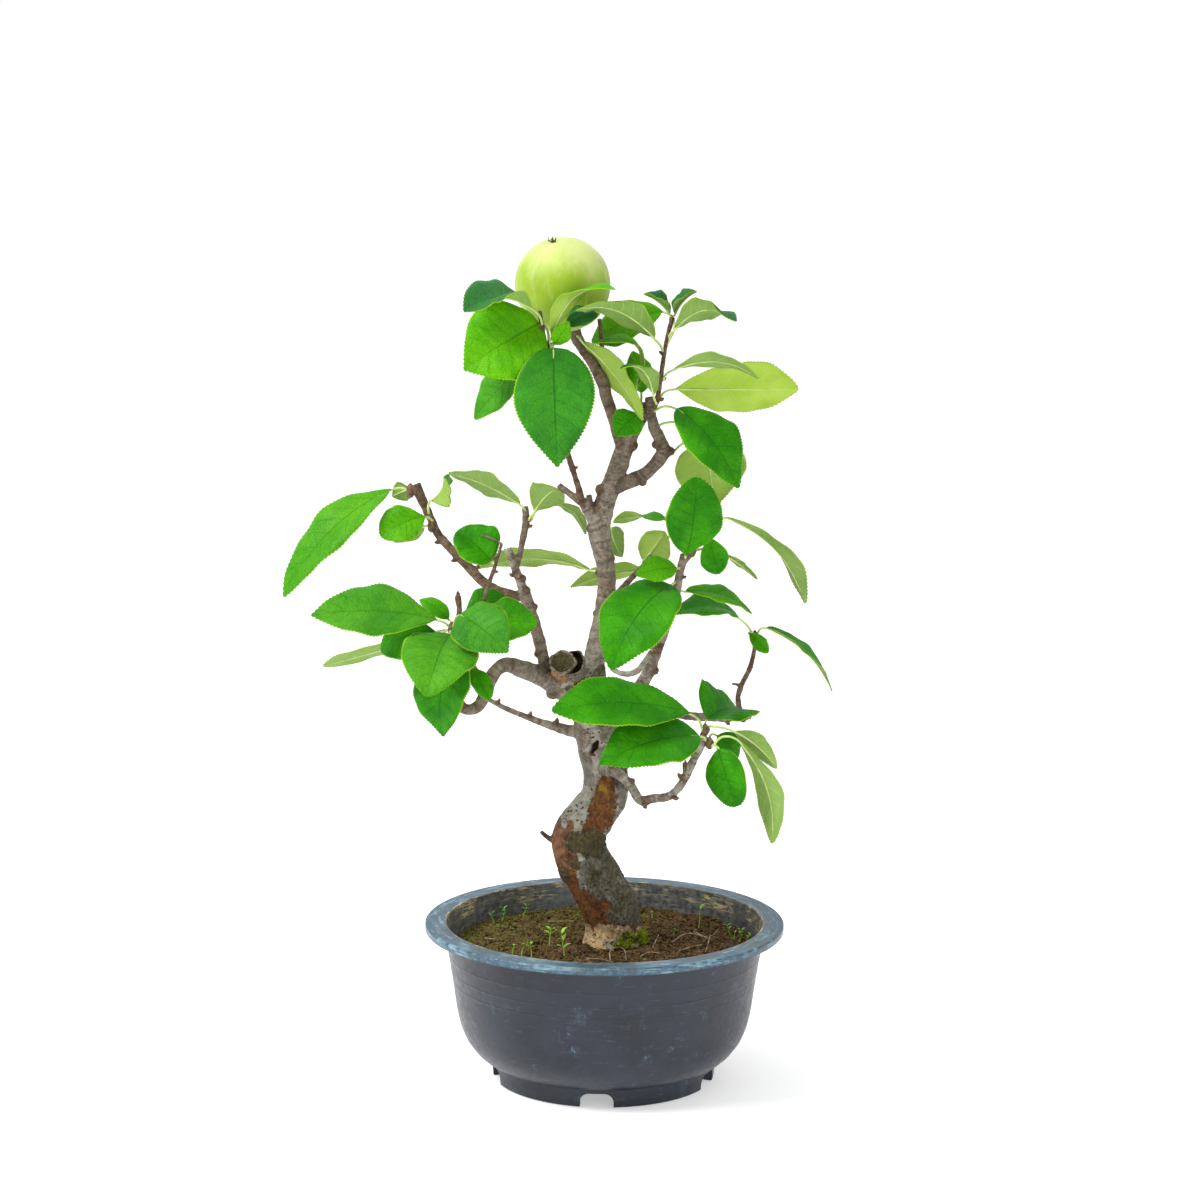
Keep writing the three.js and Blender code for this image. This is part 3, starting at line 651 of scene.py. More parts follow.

# What sets a leaf apart, by node and place in its spray: youth of its green from 0 to 1, with painted light
# on some back leaves, its painted sheen as a bluish grey cast, twist of the blade in degrees with the share
# of its length where that starts, and form
LOOKS = {
    ("leaf_beside_fruit", 0): {"painted_sheen": 0.8, "twist": -50},
    ("spray_under_fruit", 0): {"youth_and_light": 0.8, "form": "broad"},
    ("spray_under_fruit", 1): {"form": "egg", "painted_sheen": 0.25},
    ("spray_under_fruit", 2): {"youth_and_light": 0.3, "painted_sheen": 0.2, "form": "long"},
    ("spray_under_fruit", 3): {"youth_and_light": 0.7, "twist": 24},
    ("spray_under_fruit", 4): {"painted_sheen": 0.9},
    ("spray_under_fruit", 5): {"youth_and_light": 0.8, "form": "oval"},
    ("leaf_pair_top", 0): {"painted_sheen": 0.8},
    ("leaf_pair_top", 1): {"painted_sheen": 0.8},
    ("leaf_top_drooping", 0): {"painted_sheen": 0.8, "twist": 40, "turned from": 0.62},
    ("leaf_upper_right_pale", 0): {"youth_and_light": 1.0, "form": "leaned"},
    ("leaf_upper_right_dark", 0): {"form": "oval"},
    ("leaf_upper_right_arched", 0): {"form": "long"},
    ("leaf_behind_twig", 0): {"youth_and_light": 0.9, "form": "long"},
    ("spray_left_tip", 0): {"youth_and_light": 0.65, "form": "long", "painted_sheen": 0.1},
    ("spray_left_bright", 0): {"youth_and_light": 0.7, "form": "spoon"},
    ("spray_left_fork", 0): {"form": "long"},
    ("spray_left_fork", 1): {"form": "spoon"},
    ("leaf_left_folded", 0): {"youth_and_light": 0.3, "form": "spoon"},
    ("spray_trunk_top", 0): {"youth_and_light": 0.7},
    ("spray_trunk_top", 1): {"youth_and_light": 0.6},
    ("leaf_trunk_back_left", 0): {"form": "long", "youth_and_light": 0.3},
    ("leaf_thin_twig", 0): {"form": "round"},
    ("spray_low_left", 0): {"form": "pointed", "painted_sheen": 0.2, "youth_and_light": 0.45},
    ("spray_low_left", 1): {"form": "oval", "youth_and_light": 0.3},
    ("spray_low_left", 2): {"form": "spoon"},
    ("spray_low_left", 3): {"form": "round", "painted_sheen": 0.2, "youth_and_light": 0.55},
    ("spray_low_left", 4): {"form": "egg", "painted_sheen": 0.1},
    ("spray_low_left", 5): {"form": "late"},
    ("spray_low_left", 6): {"painted_sheen": 0.3, "youth_and_light": 0.3},
    ("spray_low_left", 7): {"form": "spoon", "youth_and_light": 0.2},
    ("spray_low_left", 8): {"form": "spoon"},
    ("leaf_low_left_small", 0): {"youth_and_light": 0.2, "form": "spoon"},
    ("leaf_riser_tip", 0): {"form": "spoon"},
    ("leaf_riser_large", 0): {"form": "round"},
    ("leaf_riser_small", 0): {"youth_and_light": 0.45},
    ("spray_riser_fork", 0): {"form": "spoon"},
    ("spray_riser_fork", 2): {"form": "leaned", "twist": -24},
    ("spray_back_twig", 0): {"twist": 85, "youth_and_light": 0.4},
    ("spray_back_twig", 1): {"youth_and_light": 0.45},
    ("spray_back_twig", 2): {"youth_and_light": 0.45},
    ("leaf_right_hanging_back", 0): {"youth_and_light": 0.45},
    ("leaf_riser_back", 0): {"youth_and_light": 0.4},
    ("leaf_leader_trailing", 0): {"youth_and_light": 0.65},
    ("spray_right_twig", 1): {"form": "spoon", "youth_and_light": 0.3},
    ("spray_low_right_upper", 0): {"form": "leaned"},
    ("spray_low_right_lower", 0): {"form": "oval"},
    ("spray_low_right_lower", 1): {"form": "late"},
    ("spray_low_right_lower", 2): {"form": "oblong"},
}

# Forms of the blades: a power that says where the blade is widest, and how full its base and tip are
FORMS = {
    "egg": (0.76, 0.62, 0.95),
    "oval": (0.88, 0.72, 0.84),
    "round": (0.84, 0.58, 0.72),
    "long": (0.95, 0.78, 0.80),
    "spoon": (1.15, 0.80, 0.64),
    "oblong": (1.0, 0.56, 0.50),
    "leaned": (1.12, 0.78, 0.72),
    "late": (1.55, 0.70, 0.66),
    "pointed": (1.12, 0.72, 1.0),
    "broad": (0.84, 0.50, 0.98),
}

# The bud that joins a spray's petioles: (x, depth, z) of the front view, and its radius
FEET = {
    "spray_under_fruit": (-39, -38, 489, 2.4),
    "leaf_pair_top": (41, -22, 507, 1.9),
    "spray_trunk_top": (21, -7, 451, 2.6),
    "spray_left_tip": (-129, 31, 394, 3.4),
    "spray_left_bright": (-115, 24, 371, 3.2),
    "spray_left_fork": (-53, 8, 376, 3.0),
    "spray_low_left": (-102, -46, 303, 3.0),
    "spray_riser_fork": (56, -10, 355, 2.6),
    "spray_right_twig": (98, 46, 300, 2.2),
    "spray_back_twig": (30, 39, 352, 2.3),
    "spray_low_right_upper": (66, -42, 236, 2.9),
    "spray_low_right_lower": (69, -45, 227, 2.9),
}


def leaf_course(row):
    """The points and the face direction that a leaf is built along."""
    root, base, tip, bow, _, turn = row[:6]
    start, end = placed(*base), placed(*tip)
    chord = (end - start).normalized()
    to_eye = POT_AXIS + VIEWPOINT * MM - start
    facing = (to_eye - chord * to_eye.dot(chord)).normalized()
    face = Quaternion(chord, radians(turn)) @ facing
    control = (start + end) / 2 + face * (2 * bow * MM)
    return placed(*root), start, control, end, face


def blade_template():
    """A flat blade, 1 long and 1 wide, whose map runs from stalk to tip and from edge to edge."""
    deselect()
    bpy.ops.mesh.primitive_grid_add(x_subdivisions=BLADE_STEPS, y_subdivisions=BLADE_COLUMNS, size=1)
    blade = bpy.context.active_object
    blade.name = "blade_template"
    return blade


def blade_half_width(u, width, form):
    """Half the blade's width along its length: where it is widest, and how full its base and tip are."""
    widest, base, tip = FORMS[form]
    body = np.sin(pi * np.power(u, widest)) ** (base + (tip - base) * u)
    return np.maximum(width / 2 * body, THINNEST_BLADE)


def unit(vectors):
    return vectors / np.linalg.norm(vectors, axis=1, keepdims=True)


def bent_blade(template, row, look, seed):
    """A copy of the flat blade, shaped and bent along one leaf's midrib."""
    blade = template.copy()
    blade.data = template.data.copy()
    bpy.context.collection.objects.link(blade)
    flat = points_of(template)
    u = flat[:, 0] + 0.5
    s = flat[:, 1] * 2
    _, start, control, end, face = leaf_course(row)
    fold = radians(row[6] if len(row) > 6 else LEAF_FOLD)
    p0, p1, p2 = (np.array(p) for p in (start, control, end))
    spine = np.outer((1 - u) ** 2, p0) + np.outer(2 * u * (1 - u), p1) + np.outer(u ** 2, p2)
    along = unit(np.outer(2 * (1 - u), p1 - p0) + np.outer(2 * u, p2 - p1))
    chord = (end - start).normalized()
    twist = radians(look.get("twist", 0)) * smooth(u, look.get("turned from", 0.1), 1.0)
    turned = np.outer(np.cos(twist), face) + np.outer(np.sin(twist), chord.cross(face))
    up = unit(turned - along * np.sum(turned * along, axis=1, keepdims=True))
    across = np.cross(up, along)
    out, right = np.abs(s), s > 0
    toothed = np.round(u * BLADE_STEPS).astype(int) % 2 == 1
    edge = smooth(out, 0.8, 1.0)
    tooth = np.where(toothed, TOOTH_OUT, TOOTH_IN) * edge * smooth(u, 0.03, 0.12)
    uneven = 1 + 0.035 * np.sin(7 * u + 1.3 * seed + np.where(right, 2.0, 0))
    half = blade_half_width(u, row[4], look.get("form", "oval")) * uneven + tooth
    rank = VEIN_PAIRS * (u - VEIN_SLANT * out ** 1.25) + 0.25 * np.sin(5 * u + seed) + np.where(right, 0.5, 0)
    pucker = PUCKER * half * (np.abs(np.sin(pi * rank)) ** 0.7 - 0.65)
    pucker *= smooth(out, 0.05, 0.4) * (1 - 0.6 * smooth(out, 0.7, 1.0))
    pucker -= RIB_GROOVE * np.exp(-(s / 0.06) ** 2) * (1 - 0.7 * u)
    phase = 2.1 * seed
    wave = EDGE_WAVE * half * np.sin(2 * pi * 1.7 * u + phase + np.where(right, 1.9, 0)) * out ** 2.5
    wave += EDGE_RIPPLE * half * np.sin(2 * pi * 4.3 * u + 2 * phase + np.where(right, 0.7, 0)) * out ** 3
    lift = np.sqrt(s * s + 0.012) - 0.11
    droop = -EDGE_DROOP * half * out ** 4
    side = s * half * cos(fold)
    height = lift * half * sin(fold) + pucker + wave + droop
    forward = np.where(toothed, TOOTH_FORWARD, 0) * edge
    points = spine + (across * side[:, None] + up * height[:, None] + along * forward[:, None]) * MM
    move_points(blade, points)
    paint(blade, "youth_and_light", look.get("youth_and_light", 0.0))
    paint(blade, "painted_sheen", look.get("painted_sheen", 0.0))
    return blade


def petiole_path(row, foot):
    """A petiole that comes out of the wood, runs to the blade and thins out under its midrib."""
    root, start, control, end, face = leaf_course(row)
    leaving = (control - start).normalized()
    bend = start - leaving * 0.45 * (start - root).length
    path = [(root.lerp(bend, u).lerp(bend.lerp(start, u), u), PETIOLE_RADIUS - 0.1 * u) for u in (0.0, 0.4)]
    if foot is not None and (foot - root).length > 0.5 * MM:
        path.insert(0, (foot, PETIOLE_RADIUS + 0.05))
    for u in (0.0, 0.12, 0.3, 0.5, 0.7, 0.9):
        on_rib = start.lerp(control, u).lerp(control.lerp(end, u), u)
        radius = 0.72 - 0.55 * u
        path.append((on_rib - face * ((0.35 + radius) * MM), radius))
    return path


def bud(centre, radius, towards):
    """A small pointed bud with a few overlapping scales."""
    deselect()
    bpy.ops.mesh.primitive_uv_sphere_add(segments=12, ring_count=8, radius=radius * MM, location=(0, 0, 0))
    piece = bpy.context.active_object
    points = points_of(piece)
    reach = points[:, 2] / (radius * MM)
    around = np.arctan2(points[:, 1], points[:, 0])
    scales = 1 + 0.12 * np.cos(3 * around + 4 * reach)
    points[:, :2] *= (scales * (1 - 0.45 * smooth(reach, 0.0, 1.0)))[:, None]
    points[:, 2] *= 1.5
    turn = Vector((0, 0, 1)).rotation_difference(towards)
    place = Matrix.Translation(centre) @ turn.to_matrix().to_4x4()
    move_points(piece, [place @ Vector(p) for p in points])
    shade(piece)
    return piece


def leafy_piece(name, rows, template):
    """All the leaves of one node, with their petioles and the bud that joins them."""
    foot = FEET.get(name)
    centre = placed(*foot[:3]) if foot else None
    blades = []
    for i, row in enumerate(rows):
        blades.append(bent_blade(template, row, LOOKS.get((name, i), {}), i + len(name)))
    leaf = joined(name + "_leaves", blades)
    coated(leaf, LEAF_UPPER, LEAF_UNDER, PETIOLE)
    modified(
        leaf, "SOLIDIFY", thickness=LEAF_THICKNESS * MM, offset=-1, material_offset=1, material_offset_rim=0,
    )
    stalks = stems(name + "_petioles", [petiole_path(row, centre) for row in rows], 8, 5)
    coated(stalks, PETIOLE)
    parts = [leaf, stalks]
    if foot:
        parts.append(bud(centre, foot[3], Vector((0, 0, 1))))
        coated(parts[-1], BUD_SCALES)
    piece = joined(name + "_grown", parts)
    shade(piece)
    return finished(piece, "leaf", name)


def leaves():
    """Every leaf of the tree, bent from one flat blade."""
    template = blade_template()
    for name, rows in LEAVES.items():
        leafy_piece(name, rows, template)
    bpy.data.objects.remove(template)


# Wood, as in the frame, branch by branch from its foot to its end: (x, depth, z) of the front view
# and the radius, in millimetres
WOOD = {
    "trunk": [
        (5, 0, 58, 24), (5, 0, 70, 21), (6, 0, 84, 19.6), (6.5, 0, 100, 19.2), (2, -1, 117, 19.2),
        (-7.5, -2, 133, 18.8), (-15, -3, 147, 18.3), (-19, -4, 158, 17.4), (-16.5, -4, 167, 17.2),
        (-9, -3, 178, 16.4), (-2, -2, 188, 15.6), (0.5, -1, 198, 15.4), (0, 0, 210, 15),
        (-4, 0, 223, 14.6), (-8, 0, 239, 13.6), (-10, 0, 253, 12), (-9, 0, 266, 9.6), (-8, 0, 280, 7.4),
        (-6, 0, 294, 6.5), (-3, 0, 309, 6.2), (0, 0, 329, 6), (-1, 0, 346, 6.5), (-4, 0, 359, 6.9),
        (-6, 0, 370, 7.6), (-3, 0, 382, 7.2), (1, 0, 395, 6.6), (7, 0, 410, 6.2), (11, 0, 423, 6),
        (16, -2, 434, 5.2), (22, -3, 443, 4.6), (27, -3, 451, 4.6),
    ],
    "leader": [
        (11, 0, 422, 5.4), (4, -1, 442, 4.1), (-1, -2, 455, 3.9), (-3, -3, 465, 4.5), (-9, -4, 477, 3.8),
        (-16, -5, 487, 3.7), (-21, -6, 495, 4.2), (-23, -6, 504, 3.4),
    ],
    "leader_twig": [(-7, -4, 472, 2), (-4, -3, 487, 1.6), (-5, -2, 497, 1.4), (-6, -2, 507, 1.5)],
    "crown_right": [
        (6, 0, 398, 5.2), (22, -4, 404, 4.5), (32, -7, 413, 4.3), (37, -8, 421, 4.8), (34, -9, 429, 4.3),
        (30, -10, 437, 3.8), (28, -12, 447, 3.2), (27, -14, 456, 3.4),
    ],
    "crown_twig": [
        (28, -12, 444, 2.2), (32, -15, 454, 1.8), (34, -17, 467, 1.6), (36, -19, 482, 1.5),
        (38, -21, 495, 1.4), (41, -22, 506, 1.7),
    ],
    "fork_left": [(-4, 0, 366, 4.8), (-11, -3, 379, 4), (-16, -6, 388, 3.6)],
    "fork_stub": [(-15, -5, 386, 2.9), (-24, -8, 392, 2.4), (-32, -10, 398, 2.1)],
    "fork_twig": [
        (-16, -6, 386, 2.6), (-20, -12, 400, 2), (-26, -18, 418, 1.9), (-32, -25, 441, 1.8),
        (-37, -32, 467, 1.8), (-41, -36, 488, 1.9), (-45, -38, 512, 1.6),
    ],
    "fork_short_stub": [(-10, -2, 378, 2.2), (-12, -4, 392, 1.9)],
    "limb_left": [
        (-8, 0, 244, 10), (-20, -2, 258, 9), (-33, -8, 266, 7.6), (-44, -14, 272, 6.7), (-56, -20, 276, 6),
        (-66, -26, 279, 5.2), (-72, -30, 276, 4.7), (-77, -34, 268, 4.4), (-80, -37, 259, 4.1),
        (-84, -39, 251, 4), (-90, -41, 248, 3.6), (-99, -42, 250, 3),
    ],
    "limb_left_twig": [
        (-82, -37, 258, 3), (-84, -38, 269, 2.8), (-89, -40, 278, 2.5), (-95, -43, 290, 2.2),
        (-102, -46, 303, 2.4),
    ],
    "thin_twig": [
        (-103, -47, 301, 1.8), (-92, -42, 311, 1.6), (-82, -38, 318, 1.5), (-79, -34, 329, 1.4),
        (-74, -30, 343, 1.3), (-69, -25, 360, 1.1),
    ],
    "thin_twig_end": [(-69, -25, 359, 0.9), (-76, -25, 363, 0.8), (-83, -24, 365, 0.9)],
    "bud_twig": [(-102, -45, 301, 1.5), (-98, -44, 309, 2), (-97, -43, 315, 1.9), (-98, -42, 324, 2.2)],
    "cut_stump": [(-18, -2, 257, 10), (-25, -8, 268, 9.5), (-28, -12, 273, 7.8)],
    "left_rise": [
        (-39, -11, 270, 4.6), (-42, -9, 286, 4), (-46, -5, 301, 4), (-50, 0, 315, 3.8), (-54, 4, 326, 4.3),
    ],
    "left_reach": [
        (-54, 4, 325, 3.8), (-62, 7, 325, 3.4), (-74, 11, 329, 3.3), (-83, 14, 335, 3.3), (-93, 18, 346, 3.2),
        (-103, 21, 356, 3), (-111, 24, 365, 2.8), (-116, 26, 376, 2.8), (-121, 28, 387, 3.1),
        (-126, 30, 398, 3.9),
    ],
    "left_cut_stub": [(-54, 4, 324, 3.2), (-57, 4, 335, 2.9), (-61, 3, 345, 2.8), (-65, 2, 356, 2.7)],
    "left_fork_twig": [
        (-60, 3, 341, 2.2), (-57, 4, 354, 2.1), (-55, 6, 364, 2.3), (-53, 8, 375, 2.7), (-54, 8, 384, 2.1),
    ],
    "thin_left": [
        (-12, 0, 233, 5), (-26, 4, 235, 3.9), (-43, 8, 240, 2.3), (-56, 10, 245, 2), (-68, 12, 250, 1.8),
        (-79, 13, 256, 1.5),
    ],
    "riser": [
        (-2, 0, 232, 7), (14, -1, 248, 5.2), (21, -4, 262, 4.4), (28, -6, 274, 4.3), (33, -8, 289, 4),
        (38, -9, 302, 3.7), (43, -10, 319, 3.4), (46, -11, 329, 3), (48, -12, 341, 2.8), (51, -13, 353, 2.7),
    ],
    "riser_knob": [(48, -12, 345, 2.4), (56, -10, 355, 2.2)],
    "riser_side_twig": [
        (32, -8, 290, 2.4), (26, -12, 282, 2.1), (20, -14, 274, 2.1), (10, -13, 273, 1.9), (3, -11, 277, 1.7),
    ],
    "right_branch": [
        (-2, 0, 241, 6), (16, 8, 246, 3.6), (36, 16, 248, 3), (55, 25, 245, 3), (71, 33, 244, 2.8),
        (85, 40, 244, 2.8), (96, 44, 246, 3.2),
    ],
    "right_twig": [
        (90, 42, 245, 2.2), (87, 44, 257, 2), (90, 45, 267, 1.8), (95, 46, 277, 1.7), (98, 46, 290, 1.5),
        (98, 46, 300, 1.6),
    ],
    "right_twig_stub": [(89, 45, 266, 1), (83, 45, 267, 0.9)],
    "low_right": [
        (-6, -5, 211, 5), (0, -15, 210, 4.2), (7, -18, 207, 3.8), (13, -20, 202, 3.3), (18, -21, 196, 3.1),
        (23, -25, 187, 3.2), (32, -28, 189, 2.9), (41, -32, 190, 2.9), (48, -35, 195, 2.8),
        (53, -37, 203, 2.7), (57, -39, 212, 2.7), (61, -41, 221, 2.7), (66, -42, 231, 3.2),
    ],
    "low_right_spur": [(53, -37, 201, 1.3), (52, -38, 213, 1.1)],
    "trunk_spur": [(-28, -3, 157, 2.2), (-37, -4, 161, 1.7), (-43, -5, 166, 1.4)],
    "root_front": [(4, -4, 100, 14), (1, -10, 88, 13), (1, -16, 74, 12)],
    "root_left": [(1, -1, 98, 14), (-3, -4, 86, 12.5), (-4, -6, 74, 12)],
    "root_right": [(8, -2, 98, 13), (13, -7, 86, 12), (15, -11, 74, 11)],
    "back_twig": [(-2, 0, 314, 3.4), (9, 14, 329, 2.3), (21, 28, 342, 2), (30, 39, 352, 1.8)],
}

# The middle of the trunk where it goes into the soil, and a little higher
TRUNK_AT_SOIL, TRUNK_OVER_SOIL = (row[:3] for row in WOOD["trunk"][2:4])

# Swollen joints and short spurs on the twigs, at x and z of the front view, with their size
KNOBS = [
    (-112, 359.5, 2.2), (-101, 347.6, 2.2), (-86.5, 342.8, 2.4), (-62, 338.7, 2.2), (-55.7, 336, 2.6),
    (-51.8, 329, 3), (-46.6, 318, 2.8), (-49.4, 371, 1.8), (-20.9, 409.7, 1.5), (-17.9, 370.2, 2.2),
    (-6.3, 341, 2.4), (3.7, 350.2, 2.4), (-73.9, 349.4, 1.6), (-72.7, 340.7, 1.5), (-7.1, 313.7, 2.4),
    (51, 338, 1.7), (46.3, 320, 2.2), (97.8, 301.7, 1.6), (-98, 325.5, 2),
    (64, 235.4, 2.6), (69.4, 225.9, 2.2), (40.9, 505.8, 1.5), (34.4, 485.1, 1.7), (36.9, 468.2, 1.7),
    (37.5, 454.5, 2), (19.4, 202, 2.6), (26, 188.2, 2.8), (26.7, 182.8, 2.2), (44.7, 191.5, 2.4),
    (49.4, 204.4, 2.4), (52.7, 213.2, 1.6), (87, 257, 1.7), (90, 267, 1.6), (95.5, 278, 1.6), (98, 290, 1.5),
    (31, 425, 3.4), (38, 421, 3.6), (22, 402, 3), (13, 425, 4),
    (0, 394, 4), (-8, 383, 4.4), (34, 290, 3), (30, 276, 3.2), (-26, 285, 5), (90, 244, 2.6), (80, 243, 2.2),
    (-33, 240, 2.4), (-50, 246, 2), (-72, 253, 1.8), (-34, 262, 5), (-43, 286, 3.2), (-96, 250, 2.8),
]


def wood_paths():
    """Every branch as its points in metres, each with its radius in millimetres."""
    return {name: [(placed(x, d, z), r) for x, d, z, r in rows] for name, rows in WOOD.items()}


def angular(path):
    """The same path with straight stretches and tight bends, as pruned wood grows."""
    bent = [path[0]]
    for (a, ra), (b, rb) in zip(path, path[1:]):
        for share in (0.2, 0.8):
            bent.append((a.lerp(b, share), ra + (rb - ra) * share))
    return [*bent, path[-1]]


def wood_skeleton(paths):
    """Closely spaced points down the middle of all the wood, with radius, branch and distance along it."""
    samples = []
    for name, path in paths.items():
        walked = 10 * len(samples)
        for (a, ra), (b, rb) in zip(path, path[1:]):
            length = (b - a).length / MM
            count = max(2, int(length / 1.2))
            for i in range(count):
                share = i / count
                samples.append((a.lerp(b, share), ra + (rb - ra) * share, name, walked + share * length))
            walked += length
    tree = kdtree.KDTree(len(samples))
    for i, sample in enumerate(samples):
        tree.insert(sample[0], i)
    tree.balance()
    return samples, tree


def knob_site(samples, x, z):
    """The branch that shows nearest to x and z: its middle, the way out of it there, and its radius."""
    reach = lambda sample: seen_distance(sample[0], x, z) - 0.5 * sample[1]
    point, radius, *_ = min(samples, key=reach)
    depth = (point.y - POT_AXIS.y) / MM
    outward = placed(x, depth, z) - point
    outward = outward.normalized() if outward.length > 0.6 * MM else Vector((0.3, -1, 0.3)).normalized()
    return point, outward, radius


def knob(centre, size):
    """A round swelling, later melted into the wood round it."""
    deselect()
    bpy.ops.mesh.primitive_ico_sphere_add(subdivisions=2, radius=size * MM, location=centre)
    return bpy.context.active_object


def seen_distance(point, x, z):
    """How far from x and z a point shows in the front view, in millimetres."""
    offset = (point - POT_AXIS) / MM
    reach = 1 + offset.y / -VIEWPOINT.y
    seen_x = VIEWPOINT.x + (offset.x - VIEWPOINT.x) / reach
    seen_z = VIEWPOINT.z + (offset.z - VIEWPOINT.z) / reach
    return hypot(seen_x - x, seen_z - z)


# Bark of the trunk, painted in daubs: the kind, then x and z of the front view and half width along
# the middle of each
DAUBS = [
    ("rough", (10, 226, 6), (9, 214, 8), (6, 204, 8), (12, 199, 4)),
    ("rough", (-6, 151, 8), (-1, 139, 14), (6, 126, 18), (11, 112, 18), (16, 100, 11)),
    ("rough", (-42, 276, 4), (-36, 280, 4)), ("rough", (-24, 262, 3), (-8, 262, 5), (-3, 276, 4)),
    ("rust", (-1, 202, 3), (1, 195, 7), (-1, 184, 9.5), (-3, 175, 9), (-8, 168, 7)),
    ("rust", (-26, 144, 6), (-25, 133, 6.5), (-20, 122, 8), (-12, 113, 9), (-6, 105, 8), (-7, 98, 5)),
    ("rust", (-6, 112, 6), (0, 116, 4)), ("rust", (-19, 267, 2.5), (-13, 268.5, 2)),
    ("orange", (-30, 165, 4), (-31, 157, 6), (-30, 150, 7), (-27, 145, 6)),
    ("orange", (-23, 172, 2), (-25, 164, 4)),
    ("orange", (-22, 148, 4), (-20, 142, 3)), ("orange", (-16, 268, 1.5), (-12, 270, 1)),
    # The olive daub low on the front, at z 77 to 79, is painted shade where the trunk meets the soil.
    ("olive", (-18, 159, 8), (-9, 158, 9.5), (-4, 160, 6)), ("olive", (-16, 79, 5), (-2, 77, 7), (8, 79, 5)),
    ("olive", (-20, 144, 3.6), (-18, 143, 3)),
    ("olive", (-28.5, 137, 4.6), (-28, 135, 4)), ("olive", (-7, 134, 3), (-6, 137, 3)),
    ("pale", (-13.5, 143.5, 3), (-15, 139, 2)), ("pale", (-15, 133, 3), (-16, 128, 2)),
    ("pale", (11, 197, 2.6), (11, 183, 2)), ("pale", (3, 121, 2.5), (6, 118, 2)),
    ("pale", (10, 134, 2), (12, 131, 2)),
    ("tan", (-13, 99, 4), (-12, 90, 7), (-6, 84, 8)), ("tan", (-3, 98, 5), (4, 95, 5)),
    ("tan", (3, 101, 2), (9, 97, 5), (15, 99, 3)), ("tan", (23, 100, 2), (24, 92, 2)),
    # The hollow daubs sink the bark in, and the bark's colour paints shade into them.
    ("rust", (-9.6, 218.6, 1.3), (-7.6, 218, 1.1)), ("hollow", (-19.5, 285, 1.0), (-17, 279, 2.0)),
    ("gold", (-3.5, 200, 1.6), (-2, 195, 2.2), (1.5, 193, 1.6)),
    ("hollow", (-9.2, 220.8, 2.0), (-7.4, 223.6, 3.2), (-5.6, 226.8, 1.6)),
]
# The same for its back, at x and z from the pot's axis
BACK_DAUBS = [
    ("rough", (-8, 238, 7), (-6, 222, 8), (-2, 208, 9)),
    ("rough", (-26, 150, 7), (-14, 138, 11), (-4, 122, 12), (2, 104, 11)),
    ("rust", (2, 214, 5), (4, 200, 8), (0, 188, 9), (-6, 178, 7)),
    ("rust", (2, 150, 6), (6, 138, 9), (10, 122, 8)),
    ("orange", (4, 206, 3), (6, 194, 5)), ("orange", (8, 134, 4), (9, 124, 5)),
    ("olive", (-16, 170, 8), (-8, 163, 7)),
    ("pale", (-12, 196, 3), (-14, 186, 2.5)), ("pale", (0, 128, 3), (-2, 121, 2)),
    ("tan", (-6, 96, 7), (6, 92, 6)), ("gold", (3, 198, 2), (5, 192, 2)),
    ("olive", (14, 112, 5), (14, 104, 5)),
]


# How brown a branch's bark is: 0 silver grey, 1 brown
BROWNNESS = {
    "trunk": 0.12, "limb_left": 0.55, "low_right": 0.0, "right_branch": 0.3, "riser": 0.35, "thin_twig": 1.0,
    "thin_twig_end": 0.6, "fork_twig": 1.0, "crown_twig": 1.0, "root_front": 0.2, "root_left": 0.1,
    "root_right": 0.3, "leader": 0.85, "right_twig": 0.9,
    "left_reach": 1.0, "left_fork_twig": 0.8, "limb_left_twig": 0.9, "left_rise": 0.6,
    "riser_side_twig": 0.05, "thin_left": 0.45, "bud_twig": 1.0, "crown_right": 0.65, "leader_twig": 0.9,
    "left_cut_stub": 0.3, "cut_stump": 0.2, "fork_left": 0.4, "fork_stub": 0.7, "fork_short_stub": 0.8,
    "riser_knob": 0.9, "trunk_spur": 1.0, "back_twig": 0.7, "right_twig_stub": 1.0, "low_right_spur": 0.9,
}

# Dark and light shade of each kind of bark, in the order that they lie over the silver bark
DAUB_COLOURS = {
    "rough": ((0.090, 0.079, 0.050), (0.250, 0.228, 0.158), 0.4),
    "rust": ((0.090, 0.032, 0.008), (0.380, 0.158, 0.036), 0.0),
    "orange": ((0.110, 0.050, 0.022), (0.470, 0.230, 0.105), 0.15),
    "olive": ((0.060, 0.048, 0.018), (0.165, 0.135, 0.060), 0.9),
    "pale": ((0.150, 0.140, 0.115), (0.350, 0.335, 0.290), 0.7),
    "tan": ((0.380, 0.250, 0.118), (0.860, 0.630, 0.360), 0.2),
    "gold": ((0.150, 0.070, 0.012), (0.520, 0.300, 0.035), 0.1),
}
# How far a kind of bark stands out from the silver bark, and how soft its border is
DAUB_STEPS = {"rust": (-0.75, 0.14), "orange": (-0.45, 0.14), "olive": (0.55, 0.15), "pale": (0.40, 0.2)}


